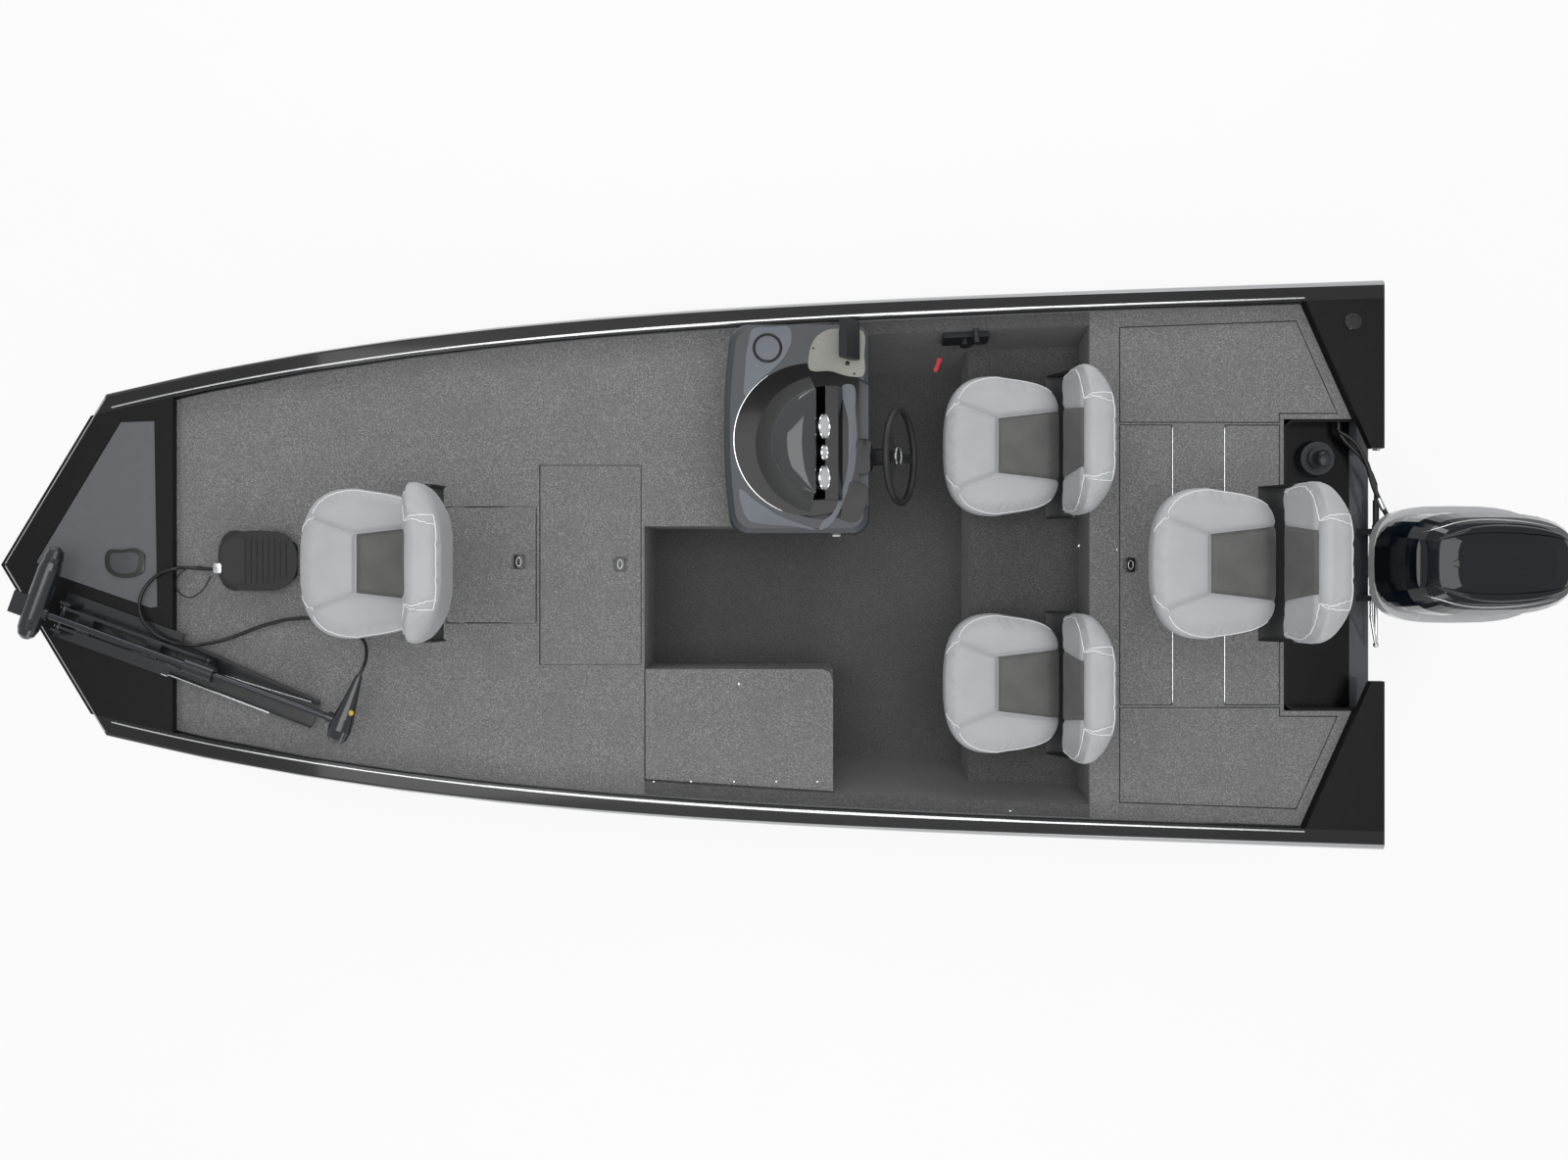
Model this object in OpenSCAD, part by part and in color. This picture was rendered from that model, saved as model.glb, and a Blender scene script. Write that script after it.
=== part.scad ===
// Aluminium bass boat, afloat: hull, decks with storage lids, cockpit, helm, four seats,
// outboard motor and the electric bow motor in its stowed place.
// +X is forward, +Y is port, +Z is up. The origin is at the transom's middle on the waterline.

/* [Hull] */
// Length from the transom to the tip of the bow
hull_len = 5690; // [5600:10:7000]
// Greatest width, over the gunwales
beam = 2350; // [2300:10:2900]
// Height of the gunwale's top above the water
sheer_z = 430; // [425:5:470]
// Height of the keel at the transom, below the water
keel_z = -250; // [-330:5:-245]
// Height of the chine at the transom
chine_z = -125; // [-140:1:-122]
// How far the bow's corners lie behind its tip
bow_corner_back = 425; // [380:5:460]
// Share of the half beam lost evenly from stern to bow
stern_taper = 0.17; // [0.12:0.01:0.2]
// Share of the half beam lost in the bow's curve
bow_entry = 0.33; // [0.28:0.01:0.36]
// Width of the gunwale's cap
gunwale_w = 78; // [70:1:84]
// Height of the gunwale's cap
gunwale_h = 65; // [60:1:70]

/* [Decks] */
// Thickness of the deck boards and lids
deck_t = 20; // [16:1:24]
// Gap between a gunwale and the deck boards
edge_gap = 6; // [4:1:8]
// Gap round a lid
lid_gap = 5; // [5:1:8]
// Width of the ledge that a lid rests on
lid_ledge = 18; // [14:1:24]
// Depth of the storage bins below their lids
bin_depth = 300; // [200:5:330]
// Where the bow cap begins, back from the bow's tip
bow_cap_len = 705; // [690:5:730]
// Where the fore deck begins
fore_deck_x = 3049; // [3000:1:3070]
// Where the starboard deck ends under the console
side_deck_x = 2600; // [2560:5:2620]
// Inboard edge of the starboard deck
side_deck_y = -161; // [-170:1:-150]
// Where the aft deck ends at the cockpit
aft_deck_x = 1204; // [1190:1:1240]

/* [Cockpit] */
// Height of the cockpit floor
floor_z = -100; // [-100:1:-60]
// Distance of the cockpit's side from the hull's outline at the deck
wall_top_in = 138; // [130:1:150]
// Distance of the cockpit's side from the hull's outline at the floor
wall_foot_in = 240; // [236:1:260]
// Thickness of the liner
liner_t = 10; // [8:1:12]
// Front of the seat bench
bench_x = 1678; // [1650:1:1720]
// Top of the seat bench
bench_z = 150; // [130:1:160]

/* [Port box] */
// Aft end of the port box
box_aft_x = 2267; // [2240:1:2300]
// Inboard side of the port box
box_in_y = 432; // [420:1:450]
// Wall of the port box
box_wall = 18; // [14:1:22]

/* [Fore lids] */
// Half width of the aft fore lid
lid_b_half = 414; // [380:1:430]
// Forward edge of the aft fore lid
lid_b_fwd = 3484; // [3470:1:3490]
// Half width of the forward fore lid
lid_a_half = 243; // [220:1:260]
// Forward edge of the forward fore lid
lid_a_fwd = 3872; // [3850:1:3880]

/* [Aft lids] */
// Half width of the centre lids
centre_half = 582; // [560:1:584]
// Forward edge of the front centre lid
centre_fwd = 1082; // [1060:1:1090]
// Hinge of the front centre lid
centre_hinge_f = 861; // [855:1:870]
// Hinge of the rear centre lid
centre_hinge_r = 645; // [635:1:655]
// Hinge line of a side lid, from the hull's outline
side_lid_in = 150; // [140:1:160]

/* [Transom] */
// Half width of the splash well
well_half = 605; // [590:1:620]
// Forward end of the splash well
well_fwd = 400; // [390:1:405]
// Aft end of the splash well
well_aft = 85; // [80:1:95]
// Height of the transom's notch
notch_z = 258; // [240:1:262]
// Half width of the notch between the corner caps
notch_half = 480; // [470:1:490]
// How far a corner cap reaches forward at the gunwale
corner_fwd = 324; // [310:1:335]
// How far a corner cap reaches forward at the notch
corner_aft = 54; // [45:1:60]
// Radius of the fuel filler cap
fuel_cap_r = 34; // [28:1:40]

/* [Console] */
// Aft face of the console
console_aft = 2131; // [2115:1:2150]
// Forward face of the console
console_fwd = 2709; // [2690:1:2720]
// Inboard face of the console
console_in = -115; // [-130:1:-110]
// Outboard face of the console
console_out = -951; // [-956:1:-930]
// Top of the console
console_z = 700; // [660:5:720]
// How far the console's forward corners lie behind its middle
console_bow = 30; // [10:1:40]
// Radius of the windscreen at its foot
screen_r = 282; // [270:1:290]
// Height of the windscreen
screen_h = 190; // [150:5:230]
// Radius of the cup holder
cup_r = 46; // [38:1:50]

/* [Steering] */
// Middle of the steering wheel, along the boat
wheel_x = 2007; // [1990:1:2020]
// Middle of the steering wheel, across the boat
wheel_y = -430; // [-450:1:-410]
// Height of the steering wheel's middle
wheel_z = 620; // [600:1:640]
// Radius of the steering wheel, at the middle of its rim
wheel_r = 184; // [160:1:200]
// Radius of the wheel's rim
rim_r = 14; // [11:0.5:17]
// Tilt of the wheel's axis from the horizontal
wheel_tilt = 22; // [15:1:30]

/* [Seats] */
// Widest part of a cushion
cushion_w = 600; // [570:1:606]
// Width of a seat between its brackets
seat_w = 570; // [560:1:580]
// Length of a cushion
cushion_len = 500; // [460:1:520]
// Thickness of a cushion
cushion_t = 105; // [90:1:120]
// Height of a backrest
back_h = 400; // [360:1:430]
// Widest part of a backrest
back_w = 606; // [596:1:620]
// Thickness of a backrest at its middle
back_t = 130; // [115:1:135]
// How far the wings of a backrest stand forward
wing = 20; // [10:1:35]
// Lean of a backrest
back_lean = 4; // [3:1:6]
// Place of the bow seat's post along the boat
bow_seat_x = 4027; // [4020:1:4040]
// Top of the bow seat's cushion
bow_seat_z = 900; // [860:5:940]
// Place of the stern seat's post along the boat
stern_seat_x = 785; // [775:1:790]
// Top of the stern seat's cushion
stern_seat_z = 930; // [900:5:960]
// Place of the cockpit seats' middle along the boat
mid_seat_x = 1523; // [1515:1:1535]
// Distance of a cockpit seat from the middle of the boat
mid_seat_y = 488; // [480:1:500]
// Top of the cockpit seats' cushions
mid_seat_z = 470; // [450:5:500]

/* [Outboard motor] */
// Tilt axis, along the boat
tilt_x = -8; // [-12:1:-4]
// Tilt axis, above the water
tilt_z = 320; // [315:1:325]
// Steering axis, behind the transom
steer_x = -110; // [-116:1:-106]
// Half width of the upper cowl
cowl_half = 205; // [190:1:215]
// Rear end of the cowl
cowl_aft = -600; // [-640:5:-570]
// Front end of the cowl
cowl_fwd = 95; // [70:1:100]
// Top of the cowl
cowl_z = 930; // [880:5:960]
// Height of the plate above the propeller
plate_z = -265; // [-290:1:-255]
// Height of the propeller's middle
prop_z = -440; // [-470:1:-430]
// Radius of the propeller
prop_r = 160; // [140:1:162]

/* [Bow motor] */
// Pivot of the bow motor's arm, back from the bow's tip
arm_back = 285; // [275:1:295]
// Pivot of the arm, across the boat
arm_y = 213; // [205:1:220]
// Angle of the stowed motor from the middle line
stow_angle = 20; // [18:0.5:22]
// Height of the arm's pivots
arm_z = 500; // [495:1:505]
// Length of the arm between its pivots
arm_len = 620; // [580:5:640]
// Height of the stowed shaft
shaft_z = 560; // [556:1:566]
// Radius of the shaft
shaft_r = 14; // [12:0.5:16]
// Radius of the motor's pod
pod_r = 44; // [38:1:46]

/* [Foot pedal] */
// Aft end of the foot pedal, back from the bow's tip
pedal_back = 1207; // [1200:1:1215]
// Length of the pedal's base
pedal_len = 314; // [300:1:320]
// Width of the pedal's base
pedal_w = 250; // [220:1:255]

/* [Hidden] */

$fn = 48;

hull_top = sheer_z - gunwale_h;
deck_z = hull_top + deck_t;
deck_in = gunwale_w + edge_gap;
bow_corner_x = hull_len - bow_corner_back;
bow_cap_x = hull_len - bow_cap_len;
rest_gap = 0.3;
rail_over = 12;
through = 1;
n_stations = 13;
keel_rise = 555;
chine_rise = 460;
chine_share = 0.87;
stem_half = 6;
step_fwd = fore_deck_x + liner_t;

// Plan of the hull: a half beam that tapers evenly and then curves in to the bow.
function half_beam(x) = let(t = x / hull_len) beam / 2 * (1 - stern_taper * t - bow_entry * t ^ 4);
function unit(v) = v / norm(v);
function left_of(v) = [-v.y, v.x];
function flip(pts) = [for (i = [len(pts) - 1:-1:0]) pts[i]];
function mirror_y(pts) = [for (p = pts) [p.x, -p.y]];
// A closed outline moved inwards by d, its corners mitred.
function inset(pts, d) = [for (i = [0:len(pts) - 1])
    let(n = len(pts), a = pts[(i + n - 1) % n], b = pts[i], c = pts[(i + 1) % n],
        n1 = left_of(unit(b - a)), n2 = left_of(unit(c - b)), m = unit(n1 + n2))
    b + m * d / (m * n1)];
// Starboard half of the outline, from x0 at the stern to the bow's corner, then the tip.
function side_points(x0) = concat([[x0, -half_beam(x0)]],
    [for (i = [1:n_stations]) let(x = i * bow_corner_x / n_stations) [x, -half_beam(x)]],
    [[hull_len, 0]]);
// Whole outline at a distance d inside the gunwale's edge, open aft to x0.
function plan(d, x0 = 0) = let(s = side_points(x0 - d), p = flip(mirror_y(s)))
    inset(concat(s, [for (i = [1:len(p) - 1]) p[i]]), d);
function half_plan(d) = let(p = plan(d, -200)) [for (i = [0:n_stations + 1]) [p[i].x, -p[i].y]];
function edge_y(x, d) = lookup(x, half_plan(d));
// Outline of the stretch from x0 to x1, at a distance d inside the gunwale's edge.
function strip_half(x0, x1, d) = let(h = half_plan(d), n = len(h)) concat([[x0, edge_y(x0, d)]],
    [for (i = [1:n - 2]) let(x = i * bow_corner_x / n_stations) if (x > x0 + 20 && x < x1 - 20) h[i]],
    [[x1, edge_y(x1, d)]]);
function strip(x0, x1, d) = let(h = strip_half(x0, x1, d)) concat(mirror_y(h), flip(h));
function arc(c, r, a0, a1, n) = [for (i = [0:n]) let(a = a0 + (a1 - a0) * i / n) c + r * [cos(a), sin(a)]];
// Four-cornered outline with rounded corners: w0 wide at x0 and w1 wide at x1.
function rounded(x0, x1, w0, w1, r0, r1, n = 5) = concat(
    arc([x1 - r1, r1 - w1 / 2], r1, -90, 0, n), arc([x1 - r1, w1 / 2 - r1], r1, 0, 90, n),
    arc([x0 + r0, w0 / 2 - r0], r0, 90, 180, n), arc([x0 + r0, r0 - w0 / 2], r0, 180, 270, n));
// A closed outline about [cx, 0], half wide there: its own length and squareness to the rear and to
// the front, and narrowed by a share towards the rear.
egg_sides = 40;
function signed_pow(v, e) = sign(v) * abs(v) ^ e;
function egg(cx, rear, front, half, n_rear, n_front, narrow = 0) = [for (i = [0:egg_sides - 1])
    let(a = 360 * i / egg_sides, e = 2 / (cos(a) < 0 ? n_rear : n_front), x = signed_pow(cos(a), e))
    [cx + x * (x < 0 ? rear : front), signed_pow(sin(a), e) * half * (1 - narrow * max(0, -x))]];
function at_z(pts, z) = [for (p = pts) [p.x, p.y, z]];

// A solid through closed rings of equal length, each counter-clockwise seen from the last.
module loft(rings) {
    n = len(rings[0]);
    m = len(rings);
    polyhedron(points = [for (r = rings) each r],
        faces = concat([[for (i = [0:n - 1]) i]],
            [for (j = [0:m - 2], i = [0:n - 1]) let(a = j * n + i, b = j * n + (i + 1) % n)
                each [[a, a + n, b + n], [a, b + n, b]]],
            [[for (i = [n - 1:-1:0]) (m - 1) * n + i]]));
}
module prism(pts, z0, z1) translate([0, 0, z0]) linear_extrude(z1 - z0) polygon(pts);
module box(x0, x1, y0, y1, z0, z1) translate([x0, y0, z0]) cube([x1 - x0, y1 - y0, z1 - z0]);
// A round bar from a to b.
module bar(a, b, r, r2 = -1) {
    v = b - a;
    translate(a) rotate([0, acos(v.z / norm(v)), atan2(v.y, v.x)])
        cylinder(h = norm(v), r1 = r, r2 = r2 < 0 ? r : r2);
}
// A bar along X, Y or Z about its middle line.
module bar_x(x0, x1, y, z, r) translate([x0, y, z]) rotate([0, 90, 0]) cylinder(h = x1 - x0, r = r);
module bar_y(y0, y1, x, z, r) translate([x, y0, z]) rotate([-90, 0, 0]) cylinder(h = y1 - y0, r = r);
module bar_z(z0, z1, x, y, r) translate([x, y, z0]) cylinder(h = z1 - z0, r = r);

// Hull: keel, chine, side break and sheer at each station, then the stem.
function keel_at(t) = keel_z + keel_rise * t ^ 8;
function chine_z_at(t) = chine_z + chine_rise * t ^ 6;
function chine_y_at(t, y) = max(stem_half / 2, y * chine_share * (1 - t ^ 6));
function hull_ring(p) = let(t = min(1, p.x / hull_len), y = max(stem_half, p.y),
    c = chine_y_at(t, y), cz = chine_z_at(t), by = c + 0.62 * (y - c), bz = (cz + hull_top) / 2)
    [[p.x, 0, keel_at(t)], [p.x, c, cz], [p.x, by, bz], [p.x, y, hull_top],
     [p.x, -y, hull_top], [p.x, -by, bz], [p.x, -c, cz]];
module hull_body() {
    h = half_plan(rail_over);
    side = concat([[0, edge_y(0, rail_over)]], [for (i = [1:n_stations]) h[i]]);
    a = h[n_stations];
    b = h[n_stations + 1];
    loft([for (p = concat(side, [a + (b - a) * 0.4, a + (b - a) * 0.75, b])) hull_ring(p)]);
}
// Cockpit: its sides slope in from the deck to the floor.
function pit_in(z) = wall_top_in + (wall_foot_in - wall_top_in) * (deck_z - z) / (deck_z - floor_z);
module pit_block(x0, x1, z0, z1, grow = 0)
    loft([for (z = [z0, z1]) at_z(strip(x0, x1, pit_in(z) - grow), z)]);
module pit(grow, z1) difference() {
    pit_block(aft_deck_x - grow, fore_deck_x + grow, floor_z - grow, z1, grow);
    box(side_deck_x + grow, step_fwd + through, -beam / 2, side_deck_y - grow, floor_z - 50, z1 + through);
}
// Storage bins. The aft ones pass down through the stern frame, and end on the stern section.
bin_z = hull_top - bin_depth;
module fore_bins() {
    box(fore_deck_x + 10 + lid_ledge, lid_b_fwd - lid_ledge, -lid_b_half + lid_ledge, lid_b_half - lid_ledge,
        bin_z, hull_top + through);
    box(lid_b_fwd + 10 + lid_ledge, lid_a_fwd - lid_ledge, -lid_a_half + lid_ledge, lid_a_half - lid_ledge,
        bin_z, hull_top + through);
}
module aft_bins() {
    for (x = [[centre_hinge_f, centre_fwd], [well_fwd + 15, centre_hinge_r]])
        box(x[0] + lid_ledge, x[1] - lid_ledge, -centre_half + lid_ledge, centre_half - lid_ledge,
            bin_z - through, hull_top + through);
    for (s = [0, 1]) mirror([0, s, 0])
        prism(inset(side_lid_plan(), lid_ledge), bin_z - through, hull_top + through);
}
// The hull is welded up from sections: x0, x1, y0, y1, z0, z1 bound one of them.
module hull_section(x0, x1, y0, y1, z0, z1) color("#33363a") difference() {
    intersection() {
        hull_body();
        box(x0, x1, y0, y1, z0, z1);
    }
    pit(liner_t + rest_gap, hull_top + through);
    children();
}
hull_end = hull_len + 10;
module hull_bottom() hull_section(-10, hull_end, -beam, beam, 2 * keel_z, floor_z);
module hull_bow() hull_section(fore_deck_x, hull_end, -beam, beam, floor_z, sheer_z) fore_bins();
module hull_stern() hull_section(-10, aft_deck_x, -beam, beam, floor_z, bin_z);
module hull_port_side() hull_section(aft_deck_x, fore_deck_x, 0, beam, floor_z, sheer_z);
module hull_starboard_side() hull_section(aft_deck_x, fore_deck_x, -beam, 0, floor_z, sheer_z);
module stern_frame() hull_section(-10, aft_deck_x, -beam, beam, bin_z, sheer_z) {
    aft_bins();
    box(-through, well_fwd, -well_half, well_half, notch_z, hull_top + through);
}

// Gunwales: a cap with a rolled outer shoulder, from the transom to the bow's corners.
corner_at = half_plan(0)[n_stations];
tip_at = [hull_len, 0];
front_dir = unit(tip_at - corner_at);
side_dir = unit(half_plan(0)[n_stations] - half_plan(0)[n_stations - 1]);
function cap_corner(w) = corner_at + front_dir * w / abs(front_dir.x * side_dir.y - front_dir.y * side_dir.x);
module gunwales() color("#151617") difference() {
    loft([for (s = [[8, hull_top], [0, hull_top + 12], [0, sheer_z - 22], [5, sheer_z - 9], [16, sheer_z]])
        at_z(plan(s[0]), s[1])]);
    prism(inner_plan(gunwale_w - rest_gap), hull_top - through, sheer_z + through);
}
function both_sides(s) = concat(mirror_y(s), [for (i = [len(s) - 2:-1:0]) s[i]]);
// What lies between the gunwales at a distance w inside their edges, run out past both ends.
function inner_plan(w) = both_sides(concat([[-20, edge_y(-20, w)]], [for (i = [1:n_stations - 1]) half_plan(w)[i]],
    [cap_corner(w) + side_dir * 60, tip_at + [120, 0]]));
bow_cap_plan = both_sides([[bow_cap_x, edge_y(bow_cap_x, gunwale_w)], cap_corner(gunwale_w), tip_at]);
module bow_cap() color("#191a1b") difference() {
    prism(bow_cap_plan, hull_top, sheer_z);
    prism(bow_panel_plan(0), sheer_z - 12, sheer_z + through);
}
// Grey panel let into the bow cap, as distances back from the tip and across.
panel_corners = [[631, -594], [490, -589], [141, -10], [230, 46], [613, 179], [643, 174]];
function bow_panel_plan(d) = inset([for (p = panel_corners) [hull_len - p.x, p.y]], d);
socket_fwd = hull_len - 440;
module bow_panel() color("#5a5c61") {
    difference() {
        prism(bow_panel_plan(2), sheer_z - 12 + rest_gap, sheer_z - 3);
        translate([socket_fwd - 84, -6, 0])
            prism(rounded(-72, 72, 92, 62, 22, 22), sheer_z - 8, sheer_z);
    }
    translate([socket_fwd - 84, -6, 0]) prism(rounded(-64, 64, 74, 46, 14, 14), sheer_z - 12 + rest_gap, sheer_z);
}

// Fore deck: one board with the starboard side deck that runs aft under the console.
module fore_deck() color("#6f6f6d") difference() {
    union() {
        prism(strip(fore_deck_x, bow_cap_x, deck_in), hull_top, deck_z);
        intersection() {
            prism(strip(side_deck_x, fore_deck_x + through, deck_in), hull_top, deck_z);
            box(side_deck_x, fore_deck_x + through, -beam / 2, side_deck_y, 0, deck_z + through);
        }
    }
    box(fore_deck_x + 10, lid_b_fwd, -lid_b_half, lid_b_half, 0, deck_z + through);
    box(lid_b_fwd + 10, lid_a_fwd, -lid_a_half, lid_a_half, 0, deck_z + through);
}
// A lid in its opening, with a flush latch's pocket near the edge that lifts.
module lid_board(x0, x1, y0, y1, latch_x, latch_y) difference() {
    box(x0 + lid_gap, x1 - lid_gap, y0 + lid_gap, y1 - lid_gap, hull_top + rest_gap, deck_z);
    translate([latch_x, latch_y, 0]) prism(rounded(-30, 30, 60, 60, 14, 14), deck_z - 8, deck_z + through);
}
module fore_lid_a() color("#6f6f6d") {
    lid_board(lid_b_fwd + 10, lid_a_fwd, -lid_a_half, lid_a_half, lid_b_fwd + 85, -13);
}
module fore_lid_b() color("#6f6f6d") {
    lid_board(fore_deck_x + 10, lid_b_fwd, -lid_b_half, lid_b_half, fore_deck_x + 100, -3);
}

// Cockpit liner: floor and sloping sides, with the ledge between them and the gunwales.
module cockpit_liner() color("#5e5e5d") {
    difference() {
        pit(liner_t, hull_top);
        pit(0, hull_top + through);
    }
    difference() {
        prism(strip(aft_deck_x, fore_deck_x, deck_in), hull_top, deck_z);
        translate([0, 0, -through])
            pit_block(aft_deck_x - through, fore_deck_x + through, hull_top, deck_z + through * 2);
        box(side_deck_x, fore_deck_x + through, -beam / 2, 0, 0, deck_z + through);
    }
}
module port_box() color("#666664") difference() {
    intersection() {
        pit_block(box_aft_x, fore_deck_x, floor_z, hull_top, -rest_gap);
        box(box_aft_x, fore_deck_x - rest_gap, box_in_y, beam / 2, floor_z, hull_top);
    }
    intersection() {
        pit_block(box_aft_x + box_wall, fore_deck_x - box_wall, floor_z + 10, hull_top + through, -box_wall);
        box(box_aft_x, fore_deck_x, box_in_y + box_wall, beam / 2, floor_z, hull_top + through);
    }
}
// The port box's lid, hinged along the cockpit's side.
lid_side = [for (x = [box_aft_x, fore_deck_x]) [x, edge_y(x, wall_top_in) - lid_gap * 2]];
module port_box_lid() color("#6f6f6d")
    prism([[box_aft_x + 45, box_in_y], [fore_deck_x - lid_gap, box_in_y], [fore_deck_x - lid_gap, lid_side[1].y],
        [box_aft_x, lid_side[0].y], [box_aft_x, box_in_y + 45], [box_aft_x + 13, box_in_y + 13]],
        hull_top + rest_gap, deck_z);
module seat_bench() color("#666664") {
    pit_block(aft_deck_x, bench_x, floor_z, bench_z, -rest_gap);
}

// Aft deck: boards round four lids and the splash well.
corner_slope = [corner_fwd - corner_aft, edge_y(corner_fwd, gunwale_w) - notch_half];
function corner_x(y) = corner_aft + (y - notch_half) * corner_slope.x / corner_slope.y;
diag_gap = 10;
lid_border = 45;
lid_in_y = centre_half + 6;
function side_lid_plan() = let(b = diag_gap + lid_border, h0 = edge_y(centre_fwd, side_lid_in),
    h1 = edge_y(corner_fwd, side_lid_in), w = well_half + 20)
    [[well_fwd + 15, lid_in_y], [centre_fwd, lid_in_y], [centre_fwd, h0],
     [corner_x(h1) + b, h1], [corner_x(w) + b, w], [well_fwd + 15, w]];
module aft_deck() color("#6f6f6d") difference() {
    prism(strip(0, aft_deck_x, deck_in), hull_top, deck_z);
    for (s = [0, 1]) mirror([0, s, 0]) {
        prism([[-through, notch_half], [corner_x(notch_half) + diag_gap, notch_half],
            [corner_x(beam / 2) + diag_gap, beam / 2], [-through, beam / 2]], 0, deck_z + through);
        prism(side_lid_plan(), 0, deck_z + through);
    }
    box(-through, well_fwd, -well_half, well_half, 0, deck_z + through);
    box(centre_hinge_f, centre_fwd, -centre_half, centre_half, 0, deck_z + through);
    box(well_fwd + 15, centre_hinge_r, -centre_half, centre_half, 0, deck_z + through);
}
module aft_lid_port() color("#6f6f6d") prism(inset(side_lid_plan(), lid_gap), hull_top + rest_gap, deck_z);
module aft_lid_starboard() color("#6f6f6d") mirror([0, 1, 0])
    prism(inset(side_lid_plan(), lid_gap), hull_top + rest_gap, deck_z);
module aft_lid_front() color("#6f6f6d") {
    lid_board(centre_hinge_f, centre_fwd, -centre_half, centre_half, centre_fwd - 48, 0);
}
module aft_lid_rear() color("#6f6f6d") {
    lid_board(well_fwd + 15, centre_hinge_r, -centre_half, centre_half, well_fwd + 55, 0);
}
module splash_well() color("#141414") difference() {
    translate([0, 0, notch_z]) linear_extrude(deck_z - notch_z)
        polygon(rounded(well_aft, well_fwd - rest_gap, 2 * well_half - 1, 2 * well_half - 1, 4, 50));
    translate([0, 0, notch_z + 12]) linear_extrude(deck_z)
        polygon(rounded(well_aft - 60, well_fwd - 12, 2 * well_half - 24, 2 * well_half - 24, 4, 40));
}
module transom_corners() color("#191a1b") for (s = [0, 1]) mirror([0, s, 0]) difference() {
    prism([[0, notch_half], [corner_aft, notch_half], [corner_fwd, edge_y(corner_fwd, gunwale_w)],
        [0, edge_y(0, gunwale_w)]], hull_top, sheer_z);
    if (s == 1) bar_z(sheer_z - 4, sheer_z + through, 129, 1001, fuel_cap_r + 3);
    box(-through, well_fwd, 0, well_half, 0, deck_z);
}
light_at = [240, -446];
module stern_light() color("#20252b") translate([light_at.x, light_at.y, notch_z + 12]) {
    cylinder(h = 60, r1 = 78, r2 = 70);
    translate([0, 0, 60]) cylinder(h = 24, r = 45);
    translate([0, 0, 84]) cylinder(h = 40, r = 30);
    translate([0, 0, 124]) sphere(r = 30);
}

// Console: its flanks rise from the side deck and close in to a rounded top.
function console_ring(d, r) = let(x0 = console_aft + d, x1 = console_fwd - d,
    h = (console_in - console_out) / 2 - d)
    [for (p = concat(arc([x1 - r, r - h], r, -90, 0, 5), [for (k = [-2:2]) [x1, k * (h - r) / 3]],
        arc([x1 - r, h - r], r, 0, 90, 5), arc([x0 + r, h - r], r, 90, 180, 5),
        arc([x0 + r, r - h], r, 180, 270, 5)))
        [p.x - console_bow * (p.y / h) ^ 2 * (p.x - x0) / (x1 - x0), p.y]];
console_mid = (console_in + console_out) / 2;
screen_at = [2290, -470];
cup_at = [2535, -850];
module console() color("#3a3f45") difference() {
    union() {
        translate([0, console_mid, 0]) loft([for (s = [[14, deck_z + rest_gap, 60], [4, 520, 64], [0, 640, 70],
            [8, console_z - 16, 66], [26, console_z, 60]]) at_z(console_ring(s[0], s[2]), s[1])]);
        box(console_aft + 60, side_deck_x - rest_gap, -820, side_deck_y - 10, floor_z, deck_z + 1);
    }
    bar_z(console_z - 34, console_z + through, screen_at.x + 20, screen_at.y, screen_r + 12);
    bar_z(console_z - 90, console_z + through, cup_at.x, cup_at.y, cup_r);
    on_wheel() translate([0, 0, -column_len - 4 - rest_gap]) cylinder(h = 60, r = 70 + rest_gap);
}
// Dash: a wedge with its panel facing aft, with pods for the gauges.
dash_w = 440;
module dash_panel() color("#111214") translate([screen_at.x, screen_at.y, console_z - 34 + rest_gap])
    rotate([90, 0, 0]) translate([0, 0, -dash_w / 2]) linear_extrude(dash_w)
        polygon([[-60, 0], [60, 0], [70, 60], [20, 120], [-30, 110]]);
module windscreen() color("#30343899") translate([screen_at.x + 20, screen_at.y, console_z - 34 + rest_gap])
    rotate([0, 0, -78]) rotate_extrude(angle = 156)
        polygon([[screen_r, 0], [screen_r + 5, 0], [screen_r - 75, screen_h], [screen_r - 80, screen_h]]);
module sonar_display() color("#15171a") translate([2215, -868, console_z + rest_gap]) {
    box(-40, 40, -50, 50, 0, 12);
    translate([0, 0, 12]) box(-12, 12, -20, 20, 0, 40);
    translate([-10, 0, 50]) rotate([0, -60, 0]) translate([-4, 0, 0]) box(0, 110, -75, 75, 0, 32);
}
// What follows is set on the wheel's axis, z along it and away from the console.
module on_wheel() translate([wheel_x, wheel_y, wheel_z]) rotate([0, -90 + wheel_tilt, 0]) children();
column_len = 150;
module helm() color("#17191b") on_wheel() difference() {
    union() {
        translate([0, 0, -column_len]) cylinder(h = column_len - 48, r = 34);
        translate([0, 0, -column_len - 4]) cylinder(h = 24, r1 = 70, r2 = 60);
    }
    translate([0, 0, -60 - rest_gap]) cylinder(h = 70, r = 12.3);
}
spoke_angles = [40, 180, 320];
module steering_wheel() color("#1b1d20") on_wheel() {
    rotate_extrude() translate([wheel_r, 0]) circle(r = rim_r);
    translate([0, 0, -44]) cylinder(h = 34, r1 = 30, r2 = 42);
    translate([0, 0, -60]) cylinder(h = 20, r = 12);
    for (a = spoke_angles) rotate([0, 0, a]) translate([30, -16, -24]) rotate([0, -7, 0])
        cube([wheel_r - 38, 32, 8]);
}
throttle_at = [1712, -947, 330];
module throttle_control() color("#1c1f22") translate(throttle_at) rotate([12, 0, 2.4]) {
    box(-95, 95, -14, 10, -50, 42);
    bar_y(8, 34, 0, 0, 26);
    bar([0, 26, 0], [-30, 26, 92], 8);
    bar_y(0, 60, -32, 100, 13);
}

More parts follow.
